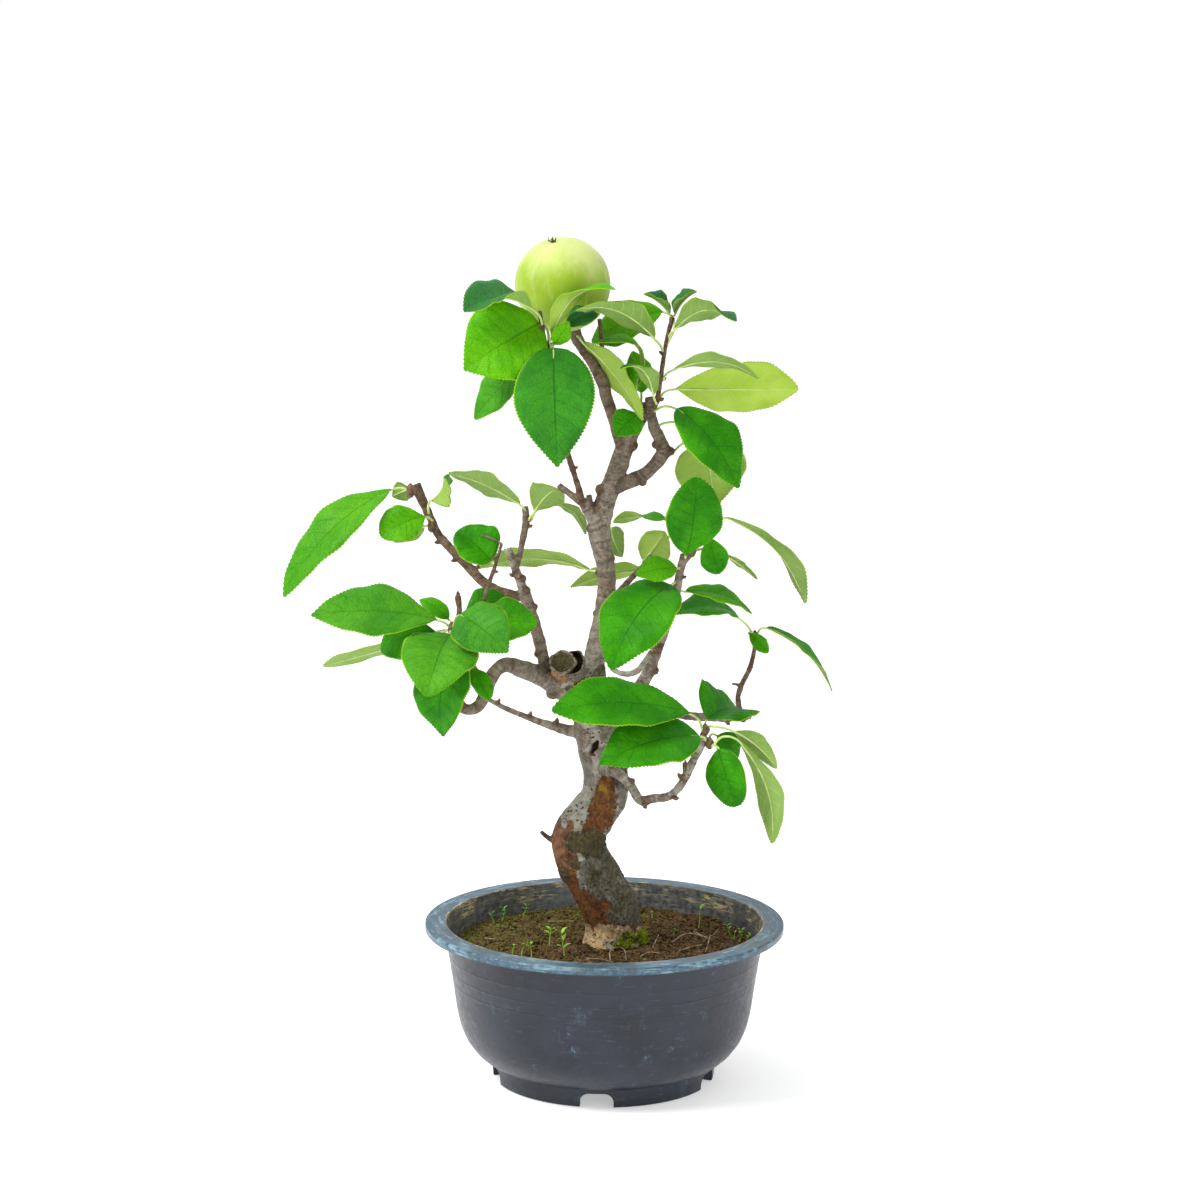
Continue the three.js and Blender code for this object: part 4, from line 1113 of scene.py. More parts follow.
def daub_field(points, kind):
    """How deep inside the daubs of one kind each point lies: 1 on their middle, 0 on their border."""
    offset = (points - np.array(POT_AXIS)) / MM
    reach = 1 + offset[:, 1] / -VIEWPOINT.y
    seen = np.stack([
        VIEWPOINT.x + (offset[:, 0] - VIEWPOINT.x) / reach,
        VIEWPOINT.z + (offset[:, 2] - VIEWPOINT.z) / reach,
    ], axis=1)
    front = np.array([side_of_trunk(p) for p in offset])
    field = np.full(len(points), -1.0)
    for daubs, place, here in ((DAUBS, seen, front <= 0), (BACK_DAUBS, offset[:, ::2], front > 0)):
        for name, *course in daubs:
            if name != kind:
                continue
            for (ax, az, ar), (bx, bz, br) in zip(course, course[1:]):
                a, span = np.array([ax, az]), np.array([bx - ax, bz - az])
                share = np.clip((place - a) @ span / max(span @ span, 1e-6), 0, 1)
                off = np.linalg.norm(place - a - share[:, None] * span, axis=1)
                inside = 1 - off / (ar + (br - ar) * share)
                field = np.where(here, np.maximum(field, inside), field)
    return field


def side_of_trunk(offset):
    """Below 0 for a point on the front half of the trunk, above 0 on its back half, with a ragged border."""
    place = Vector(offset)
    return offset[1] - 3 + 8 * noise.noise(place / 9) + 4 * noise.noise(place / 3)


def wood():
    """Trunk, branches and twigs grown together, with bark relief, swollen joints and a hollow."""
    paths = wood_paths()
    samples, tree = wood_skeleton(paths)
    parts = [stems("wood", [angular(path) for path in paths.values()], 16, 4)]
    joints = kdtree.KDTree(len(KNOBS))
    buds = []
    for i, (x, z, size) in enumerate(KNOBS):
        point, outward, radius = knob_site(samples, x, z)
        centre = point + outward * (0.85 * radius * MM)
        parts.append(knob(centre, 0.9 * size))
        joints.insert(centre, i)
        if radius < THICKEST_BUDDED and size < LARGEST_BUDDED:
            lean = (outward + Vector((0, 0, 0.7))).normalized()
            buds.append(bud(centre + outward * (0.7 * size * MM), 0.62 * size, lean))
    joints.balance()
    twig_buds = joined("twig_buds", buds)
    coated(twig_buds, BUD_SCALES)
    finished(twig_buds, "bark")
    piece = joined("tree_wood", parts)
    modified(piece, "REMESH", mode="VOXEL", voxel_size=WOOD_VOXEL * MM)
    modified(piece, "SMOOTH", factor=0.5, iterations=2)
    points = points_of(piece)
    normals = points_of(piece, "normal")
    girth, brown, along, knotty, lift = np.empty((5, len(points)))
    on_limb = np.zeros(len(points), bool)
    for i, point in enumerate(points):
        place = Vector(point)
        _, nearest, gap = joints.find(place)
        knotty[i] = 1 - gap / MM / (1.9 * KNOBS[nearest][2])
        _, index, away = tree.find(place)
        _, radius, name, distance = samples[index]
        girth[i] = radius
        along[i] = distance
        brown[i] = BROWNNESS.get(name, 0.5)
        on_limb[i] = name == "low_right" and away < (1.2 * radius + 0.6) * MM
        if name == "trunk":
            brown[i] += 0.5 * smooth(place.z, 0.275, 0.320)
        coarse = noise.noise(place / (17 * MM))
        knobbly = noise.noise(place / (6 * MM))
        scaly = noise.noise(place / (2.4 * MM))
        ringed = noise.noise(Vector((distance / 3.2, radius, 0)))
        lift[i] = min(0.07 * radius, 1.1) * coarse + min(0.09 * radius, 0.55) * knobbly + 0.15 * scaly
        lift[i] += min(0.12 * radius, 0.32) * ringed
    raised = {kind: np.where(on_limb, -1, daub_field(points, kind)) for kind in (*DAUB_COLOURS, "hollow")}
    ragged = noise_at(points, 4) * 0.35
    for kind, (height, border) in DAUB_STEPS.items():
        lift += height * smooth(raised[kind] + ragged, 0.0, border)
    lift -= HOLLOW_DEPTH * smooth(raised["hollow"], 0.0, 0.5)
    crusty = np.maximum(smooth(raised["rough"], 0, 0.3), smooth(raised["olive"], 0, 0.3))
    plates = np.array([noise.voronoi(Vector(p) / (5.5 * MM))[0] for p in points])
    seams = smooth(plates[:, 1] - plates[:, 0], 0.0, 0.16)
    lift += crusty * (0.75 * seams - 0.5 + 0.6 * noise_at(points, 1.7))
    move_points(piece, points + normals * (lift * MM)[:, None])
    for field, values in {**raised, "girth": girth, "brown": brown, "along": along, "knotty": knotty}.items():
        paint(piece, field, values)
    modified(piece, "DECIMATE", ratio=WOOD_KEPT)
    coated(piece, BARK)
    shade(piece)
    return finished(piece, "bark", "trunk_and_branches")


# The sawn stump beside the trunk: the middle of its face, and the way it faces
STUMP_FACE = (-29, -21, 281)
STUMP_FACING = Vector((-0.06, -0.75, 0.66)).normalized()


def cut_stump():
    """A sawn stump with a crusted rim, orange callus below it and a split-off shell of bark at its side."""
    centre = placed(*STUMP_FACE)
    outline = [
        (0.6, 0.9), (3, 0.75), (5.4, 0.9), (6.9, 0.7), (7.5, 0.0), (8.0, -0.5), (8.7, -0.2), (9.1, 0.8),
        (8.7, 2.2), (8.1, 4.5), (8.2, 8), (8.8, 12), (9.5, 18),
    ]
    piece = turned("stump", [(r, -back) for r, back in outline], 56, Vector((0, 0, 0)), closed=False)
    points = points_of(piece)
    around = np.arctan2(points[:, 1], points[:, 0])
    radius = np.hypot(points[:, 0], points[:, 1]) / MM
    back = -points[:, 2] / MM
    corners = 1 + 0.035 * np.cos(4 * around + 0.5) + 0.03 * np.cos(7 * around)
    rough = noise_at(points, 2.2)
    points[:, :2] *= (corners * (1 + 0.05 * rough))[:, None]
    points[:, 2] += (0.45 * rough * smooth(radius, 2, 7)) * MM
    cracks = 0.5 * MM * np.abs(np.cos(1.5 * around + 0.3)) ** 12
    points[:, 2] -= cracks * smooth(radius, 1, 7) * smooth(-back, -3, 0)
    turn = Vector((0, 0, 1)).rotation_difference(STUMP_FACING).to_matrix().to_4x4()
    place = Matrix.Translation(centre) @ turn
    paint(piece, "ring", radius)
    paint(piece, "back", back)
    paint(piece, "shell", 0.0)
    move_points(piece, [place @ Vector(p) for p in points])
    shell = bark_shell(place)
    whole = joined("sawn_stump", [piece, shell])
    coated(whole, STUMP_WOOD)
    shade(whole, 50)
    return finished(whole, "bark")


def bark_shell(place):
    """A curved shell of old bark that stands off the stump at its right, with painted shade in the pocket
    inside.
    """
    section = [
        (7.5, -9), (7.5, -5), (12.6, -6.5), (13.2, -3), (13.5, 0.4), (14.5, 0.3), (15.0, -4), (14.6, -9),
    ]
    shell = turned("shell", section, 72, Vector((0, 0, 0)))
    points = points_of(shell)
    radius = np.hypot(points[:, 0], points[:, 1]) / MM
    around = np.degrees(np.arctan2(points[:, 1], points[:, 0]))
    high = points[:, 2] / MM
    ragged = np.array([noise.noise_vector(Vector(p) / (3.2 * MM)) for p in points])
    spread = smooth(around, -95, -35) * (1 - smooth(around, 25, 80))
    paint(shell, "ring", 12.0)
    paint(shell, "back", 3.0)
    # 2 marks the pocket inside the shell, which takes painted shade.
    paint(shell, "shell", np.where((radius < 13.4) & (high < -0.5), 2.0, 1.0))
    wide = 7.5 + (radius - 7.5) * spread * (1 + 0.10 * ragged[:, 0])
    points[:, :2] *= (wide / radius)[:, None]
    points[:, 2] += np.where(high > -3.5, 1.5 * ragged[:, 2] - 1.6 * (1 - spread), 0) * MM
    move_points(shell, [place @ Vector(p) for p in points])
    return shell


def stump_wood():
    """Dark weathered sawn face with faint rings, crusted rim, orange-tan callus and grey outer bark, and
    painted shade in the pocket inside the shell.
    """
    material, tree, shader, place = surface("stump_wood")
    ring = painted(tree, "ring")
    back = painted(tree, "back")
    fine = clouds(tree, place, 600.0, 5.0, 0.7)
    broad = clouds(tree, place, 140.0, 4.0, 0.6)
    waves = maths(tree, "SINE", times(tree, plus(tree, ring, broad), 6.0))
    face = toned(tree, fine, 0.35, 0.65, (0.042, 0.034, 0.014), (0.140, 0.120, 0.060))
    face = toned(tree, waves, 0.2, 0.9, face, (0.035, 0.026, 0.012), 0.4)
    callus = toned(tree, broad, 0.38, 0.62, (0.150, 0.075, 0.032), (0.420, 0.230, 0.110))
    callus = toned(tree, fine, 0.5, 0.62, callus, (0.060, 0.038, 0.020), 0.5)
    crust = toned(tree, fine, 0.4, 0.6, (0.080, 0.060, 0.040), (0.330, 0.270, 0.190))
    colour = toned(tree, ring, 6.9, 7.6, face, crust)
    colour = toned(tree, back, 1.4, 2.6, colour, callus)
    grey = toned(tree, fine, 0.35, 0.65, (0.050, 0.038, 0.028), (0.220, 0.185, 0.145))
    colour = toned(tree, back, 9.5, 12.5, colour, grey)
    colour = toned(tree, painted(tree, "shell"), 0.0, 1.0, colour, grey)
    # Painted shade in the pocket inside the shell.
    colour = toned(tree, painted(tree, "shell"), 1.0, 1.6, colour, (0.012, 0.008, 0.005))
    dressed(tree, shader, colour, 0.85, 0.25)
    relief(tree, shader, scaled(tree, waves, 0.15, fine), 0.9, 0.0008)
    return material


STUMP_WOOD = stump_wood()

def bark():
    """Silver bark with dark specks, browner twigs with scars round them, and the daubs on the trunk,
    with painted shade in the crevices along the daubs, in the cracks and in the hollow.
    """
    material, tree, shader, place = surface("bark")
    girth, brown, along = (painted(tree, field) for field in ("girth", "brown", "along"))
    broad = clouds(tree, place, 70.0, 5.0, 0.65)
    fine = clouds(tree, place, 520.0, 6.0, 0.7)
    fray = clouds(tree, place, 170.0, 6.0, 0.75, 0.6)
    thick = step(tree, girth, 5.0, 11.0)
    grained = step(tree, fine, 0.32, 0.68)
    patches = clouds(tree, stretched(tree, place, (1.0, 1.0, 1.7)), 150.0, 5.0, 0.65, 0.3)
    grained = scaled(tree, grained, 0.45, times(tree, step(tree, patches, 0.36, 0.64), 0.55))
    silver = mixed(tree, grained, (0.225, 0.205, 0.160), (0.470, 0.450, 0.385))
    dusky = mixed(tree, grained, (0.088, 0.058, 0.036), (0.240, 0.178, 0.124))
    umber = mixed(tree, grained, (0.046, 0.022, 0.011), (0.210, 0.125, 0.074))
    metres_along = times(tree, along, MM)
    ring_place = node(tree, "CombineXYZ", metres_along, 0.0, 0.0).outputs[0]
    bands = clouds(tree, ring_place, 190.0, 3.0, 0.7)
    blotch = step(tree, scaled(tree, bands, 0.5, times(tree, broad, 0.5)), 0.46, 0.56)
    twig = mixed(tree, brown, silver, umber)
    twig = over(tree, twig, blotch, 0.75, dusky)
    stem = toned(tree, broad, 0.52, 0.66, silver, dusky, 0.5)
    colour = over(tree, twig, thick, 0.85, stem)
    specks = step(tree, cells(tree, stretched(tree, place, (1.0, 1.0, 1.4)), 300.0), 0.22, 0.32, 1.0, 0.0)
    specks = times(tree, specks, step(tree, broad, 0.40, 0.50))
    specks = times(tree, specks, scaled(tree, thick, 0.75, 0.25))
    colour = over(tree, colour, specks, 0.85, (0.055, 0.030, 0.018))
    joint = plus(tree, painted(tree, "knotty"), scaled(tree, fray, 1.2, -0.6))
    joint = times(tree, step(tree, joint, 0.1, 0.4), scaled(tree, thick, -0.7, 0.9))
    colour = mixed(tree, joint, colour, umber)
    frayed_place = node(tree, "CombineXYZ", scaled(tree, fray, 0.006, metres_along)).outputs[0]
    scar_lines = clouds(tree, frayed_place, 150.0, 1.0, 0.5)
    scars = step(tree, maths(tree, "ABSOLUTE", maths(tree, "SUBTRACT", scar_lines, 0.5)), 0.0, 0.02, 0.5, 0.0)
    colour = over(tree, colour, scars, maths(tree, "SUBTRACT", 1.0, thick), (0.040, 0.024, 0.016))
    specks_and_crevice_shade = specks
    teeth = clouds(tree, stretched(tree, place, (1.0, 1.0, 0.6)), 420.0, 4.0, 0.7)
    fraying = scaled(tree, teeth, 0.9, scaled(tree, fray, 1.5, -1.2))
    streaky = clouds(tree, stretched(tree, place, (1.0, 1.0, 0.3)), 520.0, 5.0, 0.7)
    level = (0.0, 0.0, 0.0)
    for kind, (dark, light, height) in DAUB_COLOURS.items():
        inside = plus(tree, painted(tree, kind), fraying)
        tone = scaled(tree, broad, 0.7, scaled(tree, grained, 0.6, -0.45))
        tone = scaled(tree, maths(tree, "SUBTRACT", streaky, 0.5), 1.3, tone)
        covered = step(tree, inside, 0.0, 0.08)
        colour = mixed(tree, covered, colour, mixed(tree, tone, dark, light))
        level = mixed(tree, covered, level, (height, height, height))
        rim = step(tree, maths(tree, "ABSOLUTE", inside), 0.0, 0.06, 1.0, 0.0)
        specks_and_crevice_shade = maths(tree, "MAXIMUM", specks_and_crevice_shade, times(tree, rim, step(tree, fine, 0.45, 0.6)))
    # Dark lines along the daubs' borders are painted shade in the crevices; the specks in the same mask are
    # the bark's own.
    colour = over(tree, colour, specks_and_crevice_shade, 0.6, (0.045, 0.028, 0.018))
    plates = cells(tree, stretched(tree, place, (1.0, 1.0, 0.45)), 260.0, "DISTANCE_TO_EDGE")
    cracks = step(tree, plates, 0.0, 0.05, 1.0, 0.0)
    cracks = times(tree, cracks, step(tree, painted(tree, "rough"), -0.1, 0.2))
    # Painted shade in the cracks between the plates of rough bark.
    colour = over(tree, colour, cracks, 0.3, (0.040, 0.032, 0.020))
    # Painted shade darkens the hollow.
    colour = toned(tree, painted(tree, "hollow"), 0.05, 0.4, colour, (0.030, 0.013, 0.006))
    dressed(tree, shader, colour, step(tree, fine, 0.3, 0.7, 0.9, 0.7), 0.3)
    height = scaled(tree, specks_and_crevice_shade, -0.8, plus(tree, fine, broad))
    height = plus(tree, height, node(tree, "RGBToBW", level).outputs[0])
    relief(tree, shader, scaled(tree, cracks, -0.8, height), 0.9, 0.0011)
    return material


BARK = bark()


# Pot

def select_open_edge():
    """In edit mode, selects the open border alone."""
    bpy.ops.mesh.select_all(action="DESELECT")
    bpy.ops.mesh.select_non_manifold(extend=False, use_boundary=True, use_wire=False)


def turned(name, profile, segments, centre, closed=True):
    """A round body: a ring extruded and resized from point to point of an outline, closed or capped."""
    deselect()
    radius, height = profile[0]
    at = centre + Vector((0, 0, height * MM))
    bpy.ops.mesh.primitive_circle_add(vertices=segments, radius=radius * MM, location=at)
    piece = bpy.context.active_object
    piece.name = name
    bpy.ops.object.mode_set(mode="EDIT")
    if not closed:
        bpy.ops.mesh.edge_face_add()
        bpy.ops.mesh.poke()
        select_open_edge()
    for wide, high in profile[1:] + (profile[:1] if closed else []):
        bpy.ops.mesh.extrude_edges_move(TRANSFORM_OT_translate={"value": (0, 0, (high - height) * MM)})
        share = wide / radius
        middle = centre + Vector((0, 0, high * MM))
        bpy.ops.transform.resize(value=(share, share, 1), center_override=middle)
        radius, height = wide, high
    if not closed:
        bpy.ops.mesh.edge_face_add()
    bpy.ops.mesh.select_all(action="SELECT")
    bpy.ops.mesh.remove_doubles(threshold=0.00001)
    bpy.ops.mesh.normals_make_consistent(inside=False)
    bpy.ops.object.mode_set(mode="OBJECT")
    settle(piece)
    return piece


def arc(centre_r, centre_z, radius, start, stop, count):
    """Points of a round stretch of an outline, between two angles in degrees."""
    angles = [radians(start + (stop - start) * i / count) for i in range(count + 1)]
    return [(centre_r + radius * cos(a), centre_z + radius * sin(a)) for a in angles]


def wall_radius(height):
    """Outside radius of the bowl at a height."""
    heights = [12.5, 16.2, 23, 31.5, 43, 64, 82, 100, 103]
    radii = [77, 83, 89.5, 94.5, 98, 101.2, 104, 107.4, 108]
    return float(np.interp(height, heights, radii))


def ring_line(height):
    """A fine raised line round the bowl."""
    foot = [(wall_radius(height + off), height + off) for off in (-1.4, -0.45)]
    crest = [(wall_radius(height) + 0.12, height + off) for off in (-0.2, 0.2)]
    return foot + crest + [(wall_radius(height + off), height + off) for off in (0.45, 1.4)]


def pot():
    """Thin plastic bowl with a flanged rim, fine ring lines, and a foot ring with arched notches."""
    inner = [(wall_radius(z) - WALL, z) for z in (99, 90, 82, 70, 56, 43, 36, 31, 27, 23)]
    profile = [
        (6, FOOT_HEIGHT), (FOOT_RADIUS - FOOT_WIDTH, FOOT_HEIGHT), (FOOT_RADIUS - FOOT_WIDTH, 0.6),
        *arc(FOOT_RADIUS - FOOT_WIDTH + 0.6, 0.6, 0.6, 180, 270, 3),
        *arc(FOOT_RADIUS - 1.4, 0.8, 0.8, 270, 360, 3),
        (FOOT_RADIUS - 0.2, 6), (FOOT_RADIUS + 0.3, 11), (FOOT_RADIUS + 0.5, 12.1), (FOOT_RADIUS + 1.8, 12.6),
        (79, 13.4), (83, 16.2), (86.6, 19.4), (89.5, 23), (92.3, 27), (94.5, 31.5), (96.5, 37),
        (98, 43), (99.3, 50), (100.3, 57),
        *ring_line(67), *ring_line(75), *ring_line(84.5), (105, 90), (107, 98), (107.6, 101),
        (108.4, 102.4), (109.6, 103), (116.8, 103), (117.5, 102.6), (117.7, 101.4),
        *arc(118.1, 101.4, 0.4, 180, 270, 2), *arc(119.5, 101.5, 0.5, 270, 360, 2),
        (RIM_RADIUS, 103), (RIM_RADIUS, 104.6), *arc(RIM_RADIUS - 1.3, RIM_TOP - 1.3, 1.3, 10, 90, 4),
        (113, RIM_TOP), *arc(MOUTH_RADIUS + 0.9, RIM_TOP - 0.9, 0.9, 90, 180, 4), *inner,
        (83, FLOOR_TOP), (8, FLOOR_TOP),
    ]
    piece = turned("pot_shell", profile, POT_SIDES, POT_AXIS)
    for i in range(NOTCH_COUNT):
        cutter = notch_cutter(NOTCH_TURN + 360 / NOTCH_COUNT * i)
        modified(piece, "BOOLEAN", operation="DIFFERENCE", solver="EXACT", object=cutter)
        bpy.data.objects.remove(cutter)
    coated(piece, POT_PLASTIC)
    shade(piece, 32)
    return finished(piece, "pot_plastic", "pot")


def notch_cutter(turn):
    """An arched block across the foot ring, the first one at the front."""
    deselect()
    centre = POT_AXIS + Vector((0, -FOOT_RADIUS * MM, 0))
    bpy.ops.mesh.primitive_cube_add(size=1, location=centre)
    block = bpy.context.active_object
    block.scale = (NOTCH_WIDTH * MM, 3 * FOOT_WIDTH * MM, 2 * NOTCH_HEIGHT * MM)
    settle(block)
    bpy.ops.object.mode_set(mode="EDIT")
    bpy.ops.mesh.select_all(action="DESELECT")
    bpy.ops.object.mode_set(mode="OBJECT")
    for edge in block.data.edges:
        a, b = (block.data.vertices[i].co for i in edge.vertices)
        edge.select = a.z > 0.001 and b.z > 0.001 and abs(a.x - b.x) < 1e-6
    bpy.ops.object.mode_set(mode="EDIT")
    bpy.ops.mesh.bevel(offset=NOTCH_BEVEL * MM, segments=6)
    bpy.ops.object.mode_set(mode="OBJECT")
    round_axis = Matrix.Rotation(radians(turn), 4, "Z")
    spin = Matrix.Translation(POT_AXIS) @ round_axis @ Matrix.Translation(-POT_AXIS)
    move_points(block, [spin @ Vector(p) for p in points_of(block)])
    return block


def from_axis(tree, place):
    """The three coordinates of a place, from the pot's axis."""
    return node(tree, "SeparateXYZ", node(tree, "Mapping", place, tuple(-POT_AXIS)).outputs[0]).outputs


def pot_plastic():
    """Dark blue-grey plastic: a scuffed teal rim whose lighter streaks are part wear and part painted
    highlight, pale strokes outside, dust and dried lime inside.
    """
    material, tree, shader, place = surface("pot_plastic")
    x, y, z = from_axis(tree, place)
    radius = maths(tree, "SQRT", plus(tree, maths(tree, "POWER", x, 2.0), maths(tree, "POWER", y, 2.0)))
    turns = [times(tree, maths(tree, "DIVIDE", reach, radius), 0.018) for reach in (x, y)]
    swept = node(tree, "CombineXYZ", *turns, plus(tree, radius, z)).outputs[0]
    broad = clouds(tree, place, 22.0, 5.0, 0.6)
    fine = clouds(tree, place, 260.0, 6.0, 0.7)
    lines = clouds(tree, swept, 420.0, 4.0, 0.7)
    body = toned(tree, broad, 0.35, 0.65, (0.006, 0.008, 0.017), (0.013, 0.017, 0.032))
    colour = toned(tree, lines, 0.60, 0.70, body, (0.090, 0.130, 0.190), 0.25)
    for lean, size in ((0.5, 620.0), (-0.9, 760.0), (1.5, 680.0)):
        slanted = node(tree, "Mapping", place, None, (0.4, lean, 0.2), (1.0, 1.0, 0.3)).outputs[0]
        strokes = step(tree, clouds(tree, slanted, size, 4.0, 0.65, 0.4), 0.56, 0.62)
        patch = node(tree, "Mapping", place, (lean, 0.0, lean)).outputs[0]
        bruised = step(tree, clouds(tree, patch, 48.0, 5.0, 0.65), 0.60, 0.70)
        scuffs = times(tree, scaled(tree, strokes, 0.8, 0.2), bruised)
        colour = over(tree, colour, scuffs, 0.7, (0.085, 0.165, 0.235))
    rim = toned(tree, fine, 0.35, 0.65, (0.024, 0.062, 0.098), (0.080, 0.150, 0.205))
    # Lighter streaks round the rim: part wear, part painted highlight.
    rim = toned(tree, lines, 0.54, 0.64, rim, (0.210, 0.370, 0.450), 0.8)
    wear_and_highlight = step(tree, clouds(tree, swept, 190.0, 8.0, 0.75), 0.53, 0.62, 0.0, 0.6)
    rim = mixed(tree, wear_and_highlight, rim, (0.240, 0.380, 0.450))
    grimy = clouds(tree, place, 40.0, 4.0, 0.6)
    rim = toned(tree, grimy, 0.52, 0.62, rim, (0.040, 0.060, 0.060), 0.5)
    colour = toned(tree, z, 0.1008, 0.1022, colour, rim)
    inside = maths(tree, "LESS_THAN", radius, scaled(tree, z, 0.19, 0.0869))
    inside = times(tree, inside, maths(tree, "GREATER_THAN", z, 0.030))
    dusty = toned(tree, fine, 0.35, 0.65, (0.040, 0.044, 0.050), (0.140, 0.142, 0.135))
    dusty = toned(tree, lines, 0.52, 0.64, dusty, (0.220, 0.225, 0.195), 0.75)
    dusty = toned(tree, broad, 0.5, 0.6, dusty, (0.050, 0.090, 0.100), 0.5)
    colour = mixed(tree, inside, colour, dusty)
    dribbles = step(tree, clouds(tree, swept, 620.0, 7.0, 0.75, 0.5), 0.51, 0.55)
    limy = step(tree, clouds(tree, place, 34.0, 3.0, 0.6), 0.45, 0.55, 0.15, 1.0)
    lime = times(tree, dribbles, limy)
    high = step(tree, z, 0.093, 0.098)
    crust = times(tree, times(tree, inside, high), lime)
    colour = over(tree, colour, crust, 0.9, (0.620, 0.500, 0.240))
    dressed(tree, shader, colour, step(tree, fine, 0.3, 0.7, 0.30, 0.46), 0.42)
    relief(tree, shader, plus(tree, fine, times(tree, crust, 1.5)), 0.12, 0.0006)
    return material


POT_PLASTIC = pot_plastic()


# Fruit

def fruit_skin():
    """Unripe quince: lime green under a pale bloom, paler upwards where light from above is painted, with
    faint streaks and dots.
    """
    material, tree, shader, place = surface("fruit_skin")
    cloudy = clouds(tree, place, 26.0, 5.0, 0.6, 0.4)
    streaks = clouds(tree, stretched(tree, place, (1.0, 1.0, 0.25)), 150.0, 4.0, 0.6)
    height = node(tree, "SeparateXYZ", place).outputs[2]
    # Paler towards the top: part bloom, part painted light from above.
    bloom_and_top_light = step(tree, height, FRUIT_BLOOM_AND_LIGHT_LOW * MM, FRUIT_BLOOM_AND_LIGHT_HIGH * MM, 0.0, 0.62)
    bloom_and_top_light = scaled(tree, maths(tree, "SUBTRACT", cloudy, 0.5), 1.6, bloom_and_top_light)
    green = toned(tree, bloom_and_top_light, 0.0, 0.8, (0.290, 0.430, 0.014), (0.560, 0.640, 0.200))
    green = toned(tree, streaks, 0.50, 0.72, green, (0.600, 0.680, 0.270), 0.35)
    dots = step(tree, cells(tree, place, 380.0), 0.08, 0.15, 1.0, 0.0)
    green = over(tree, green, dots, 0.3, (0.600, 0.680, 0.330))
    dressed(tree, shader, green, 0.62, 0.3)
    shader.inputs["Sheen Weight"].default_value = 0.45
    shader.inputs["Sheen Roughness"].default_value = 0.4
    relief(tree, shader, streaks, 0.15, 0.0006)
    return material


def fruit():
    """A round quince, faintly lobed and creased, with a shallow basin on top that holds the dried calyx."""
    deselect()
    bpy.ops.mesh.primitive_uv_sphere_add(segments=96, ring_count=64, radius=1, location=(0, 0, 0))
    piece = bpy.context.active_object
    points = points_of(piece)
    rise = points[:, 2].copy()
    around = np.arctan2(points[:, 1], points[:, 0])
    lobes = 1 + 0.008 * np.cos(5 * around + 0.6) * np.abs(rise) ** 0.5
    lumps = np.array([noise.noise(Vector(p) * 1.6) for p in points])
    points *= (lobes + 0.008 * lumps)[:, None] * FRUIT_RADIUS
    basin = smooth(rise, 0.955, 1.0)
    points[:, 2] -= FRUIT_BASIN * basin + FRUIT_SHOULDER * smooth(rise, 0.80, 1.0)
    points[:, 2] += FRUIT_FOOT_DIMPLE * smooth(-rise, 0.93, 1.0)
    crease = np.exp(-((around - radians(-118)) / 0.035) ** 2) * smooth(rise, -0.2, 0.5)
    points *= (1 - 0.004 * crease)[:, None]
    tilt = Matrix.Rotation(radians(-12), 4, "Y") @ Matrix.Rotation(radians(10), 4, "X")
    place = Matrix.Translation(placed(*FRUIT_CENTRE)) @ tilt
    move_points(piece, [place @ (Vector(p) * MM) for p in points])
    coated(piece, FRUIT_SKIN)
    piece.name = "fruit_flesh"
    calyx = dried_calyx(place)
    whole = joined("fruit_with_calyx", [piece, calyx])
    shade(whole)
    return finished(whole, "fruit_skin", "fruit")


def dried_calyx(place):
    """The few dark, curled, dry sepals left on the fruit's top."""
    paths = []
    for i in range(5):
        angle = 2 * pi * i / 5 + 0.4
        out = Vector((cos(angle), sin(angle), 0))
        height = (27.4, 28.6, 29.8 + 0.9 * (i % 2), 30.4 + 0.9 * (i % 3))
        reach = (0.4, 1.1, 1.8 + 0.7 * (i % 3), 2.4 + 1.1 * (i % 2))
        width = (0.6, 0.6, 0.4, 0.12)
        sepal = [(out * r + Vector((0, 0, h))) * MM for r, h in zip(reach, height)]
        paths.append([(place @ point, radius) for point, radius in zip(sepal, width)])
    calyx = stems("calyx", paths, 6, 4)
    coated(calyx, BUD_SCALES)
    return calyx


FRUIT_SKIN = fruit_skin()


# Soil

def soil_height(x, y):
    """Height of the soil's surface over a place given from the pot's axis, all in millimetres."""
    share = min(hypot(x, y) / SOIL_RADIUS, 1)
    rise = SOIL_RISE_AT_TRUNK * (1 - share) ** 1.5
    return SOIL_LEVEL + rise + 0.9 * sin(x / 9) * cos(y / 11) * min(1, hypot(x, y) / 30)


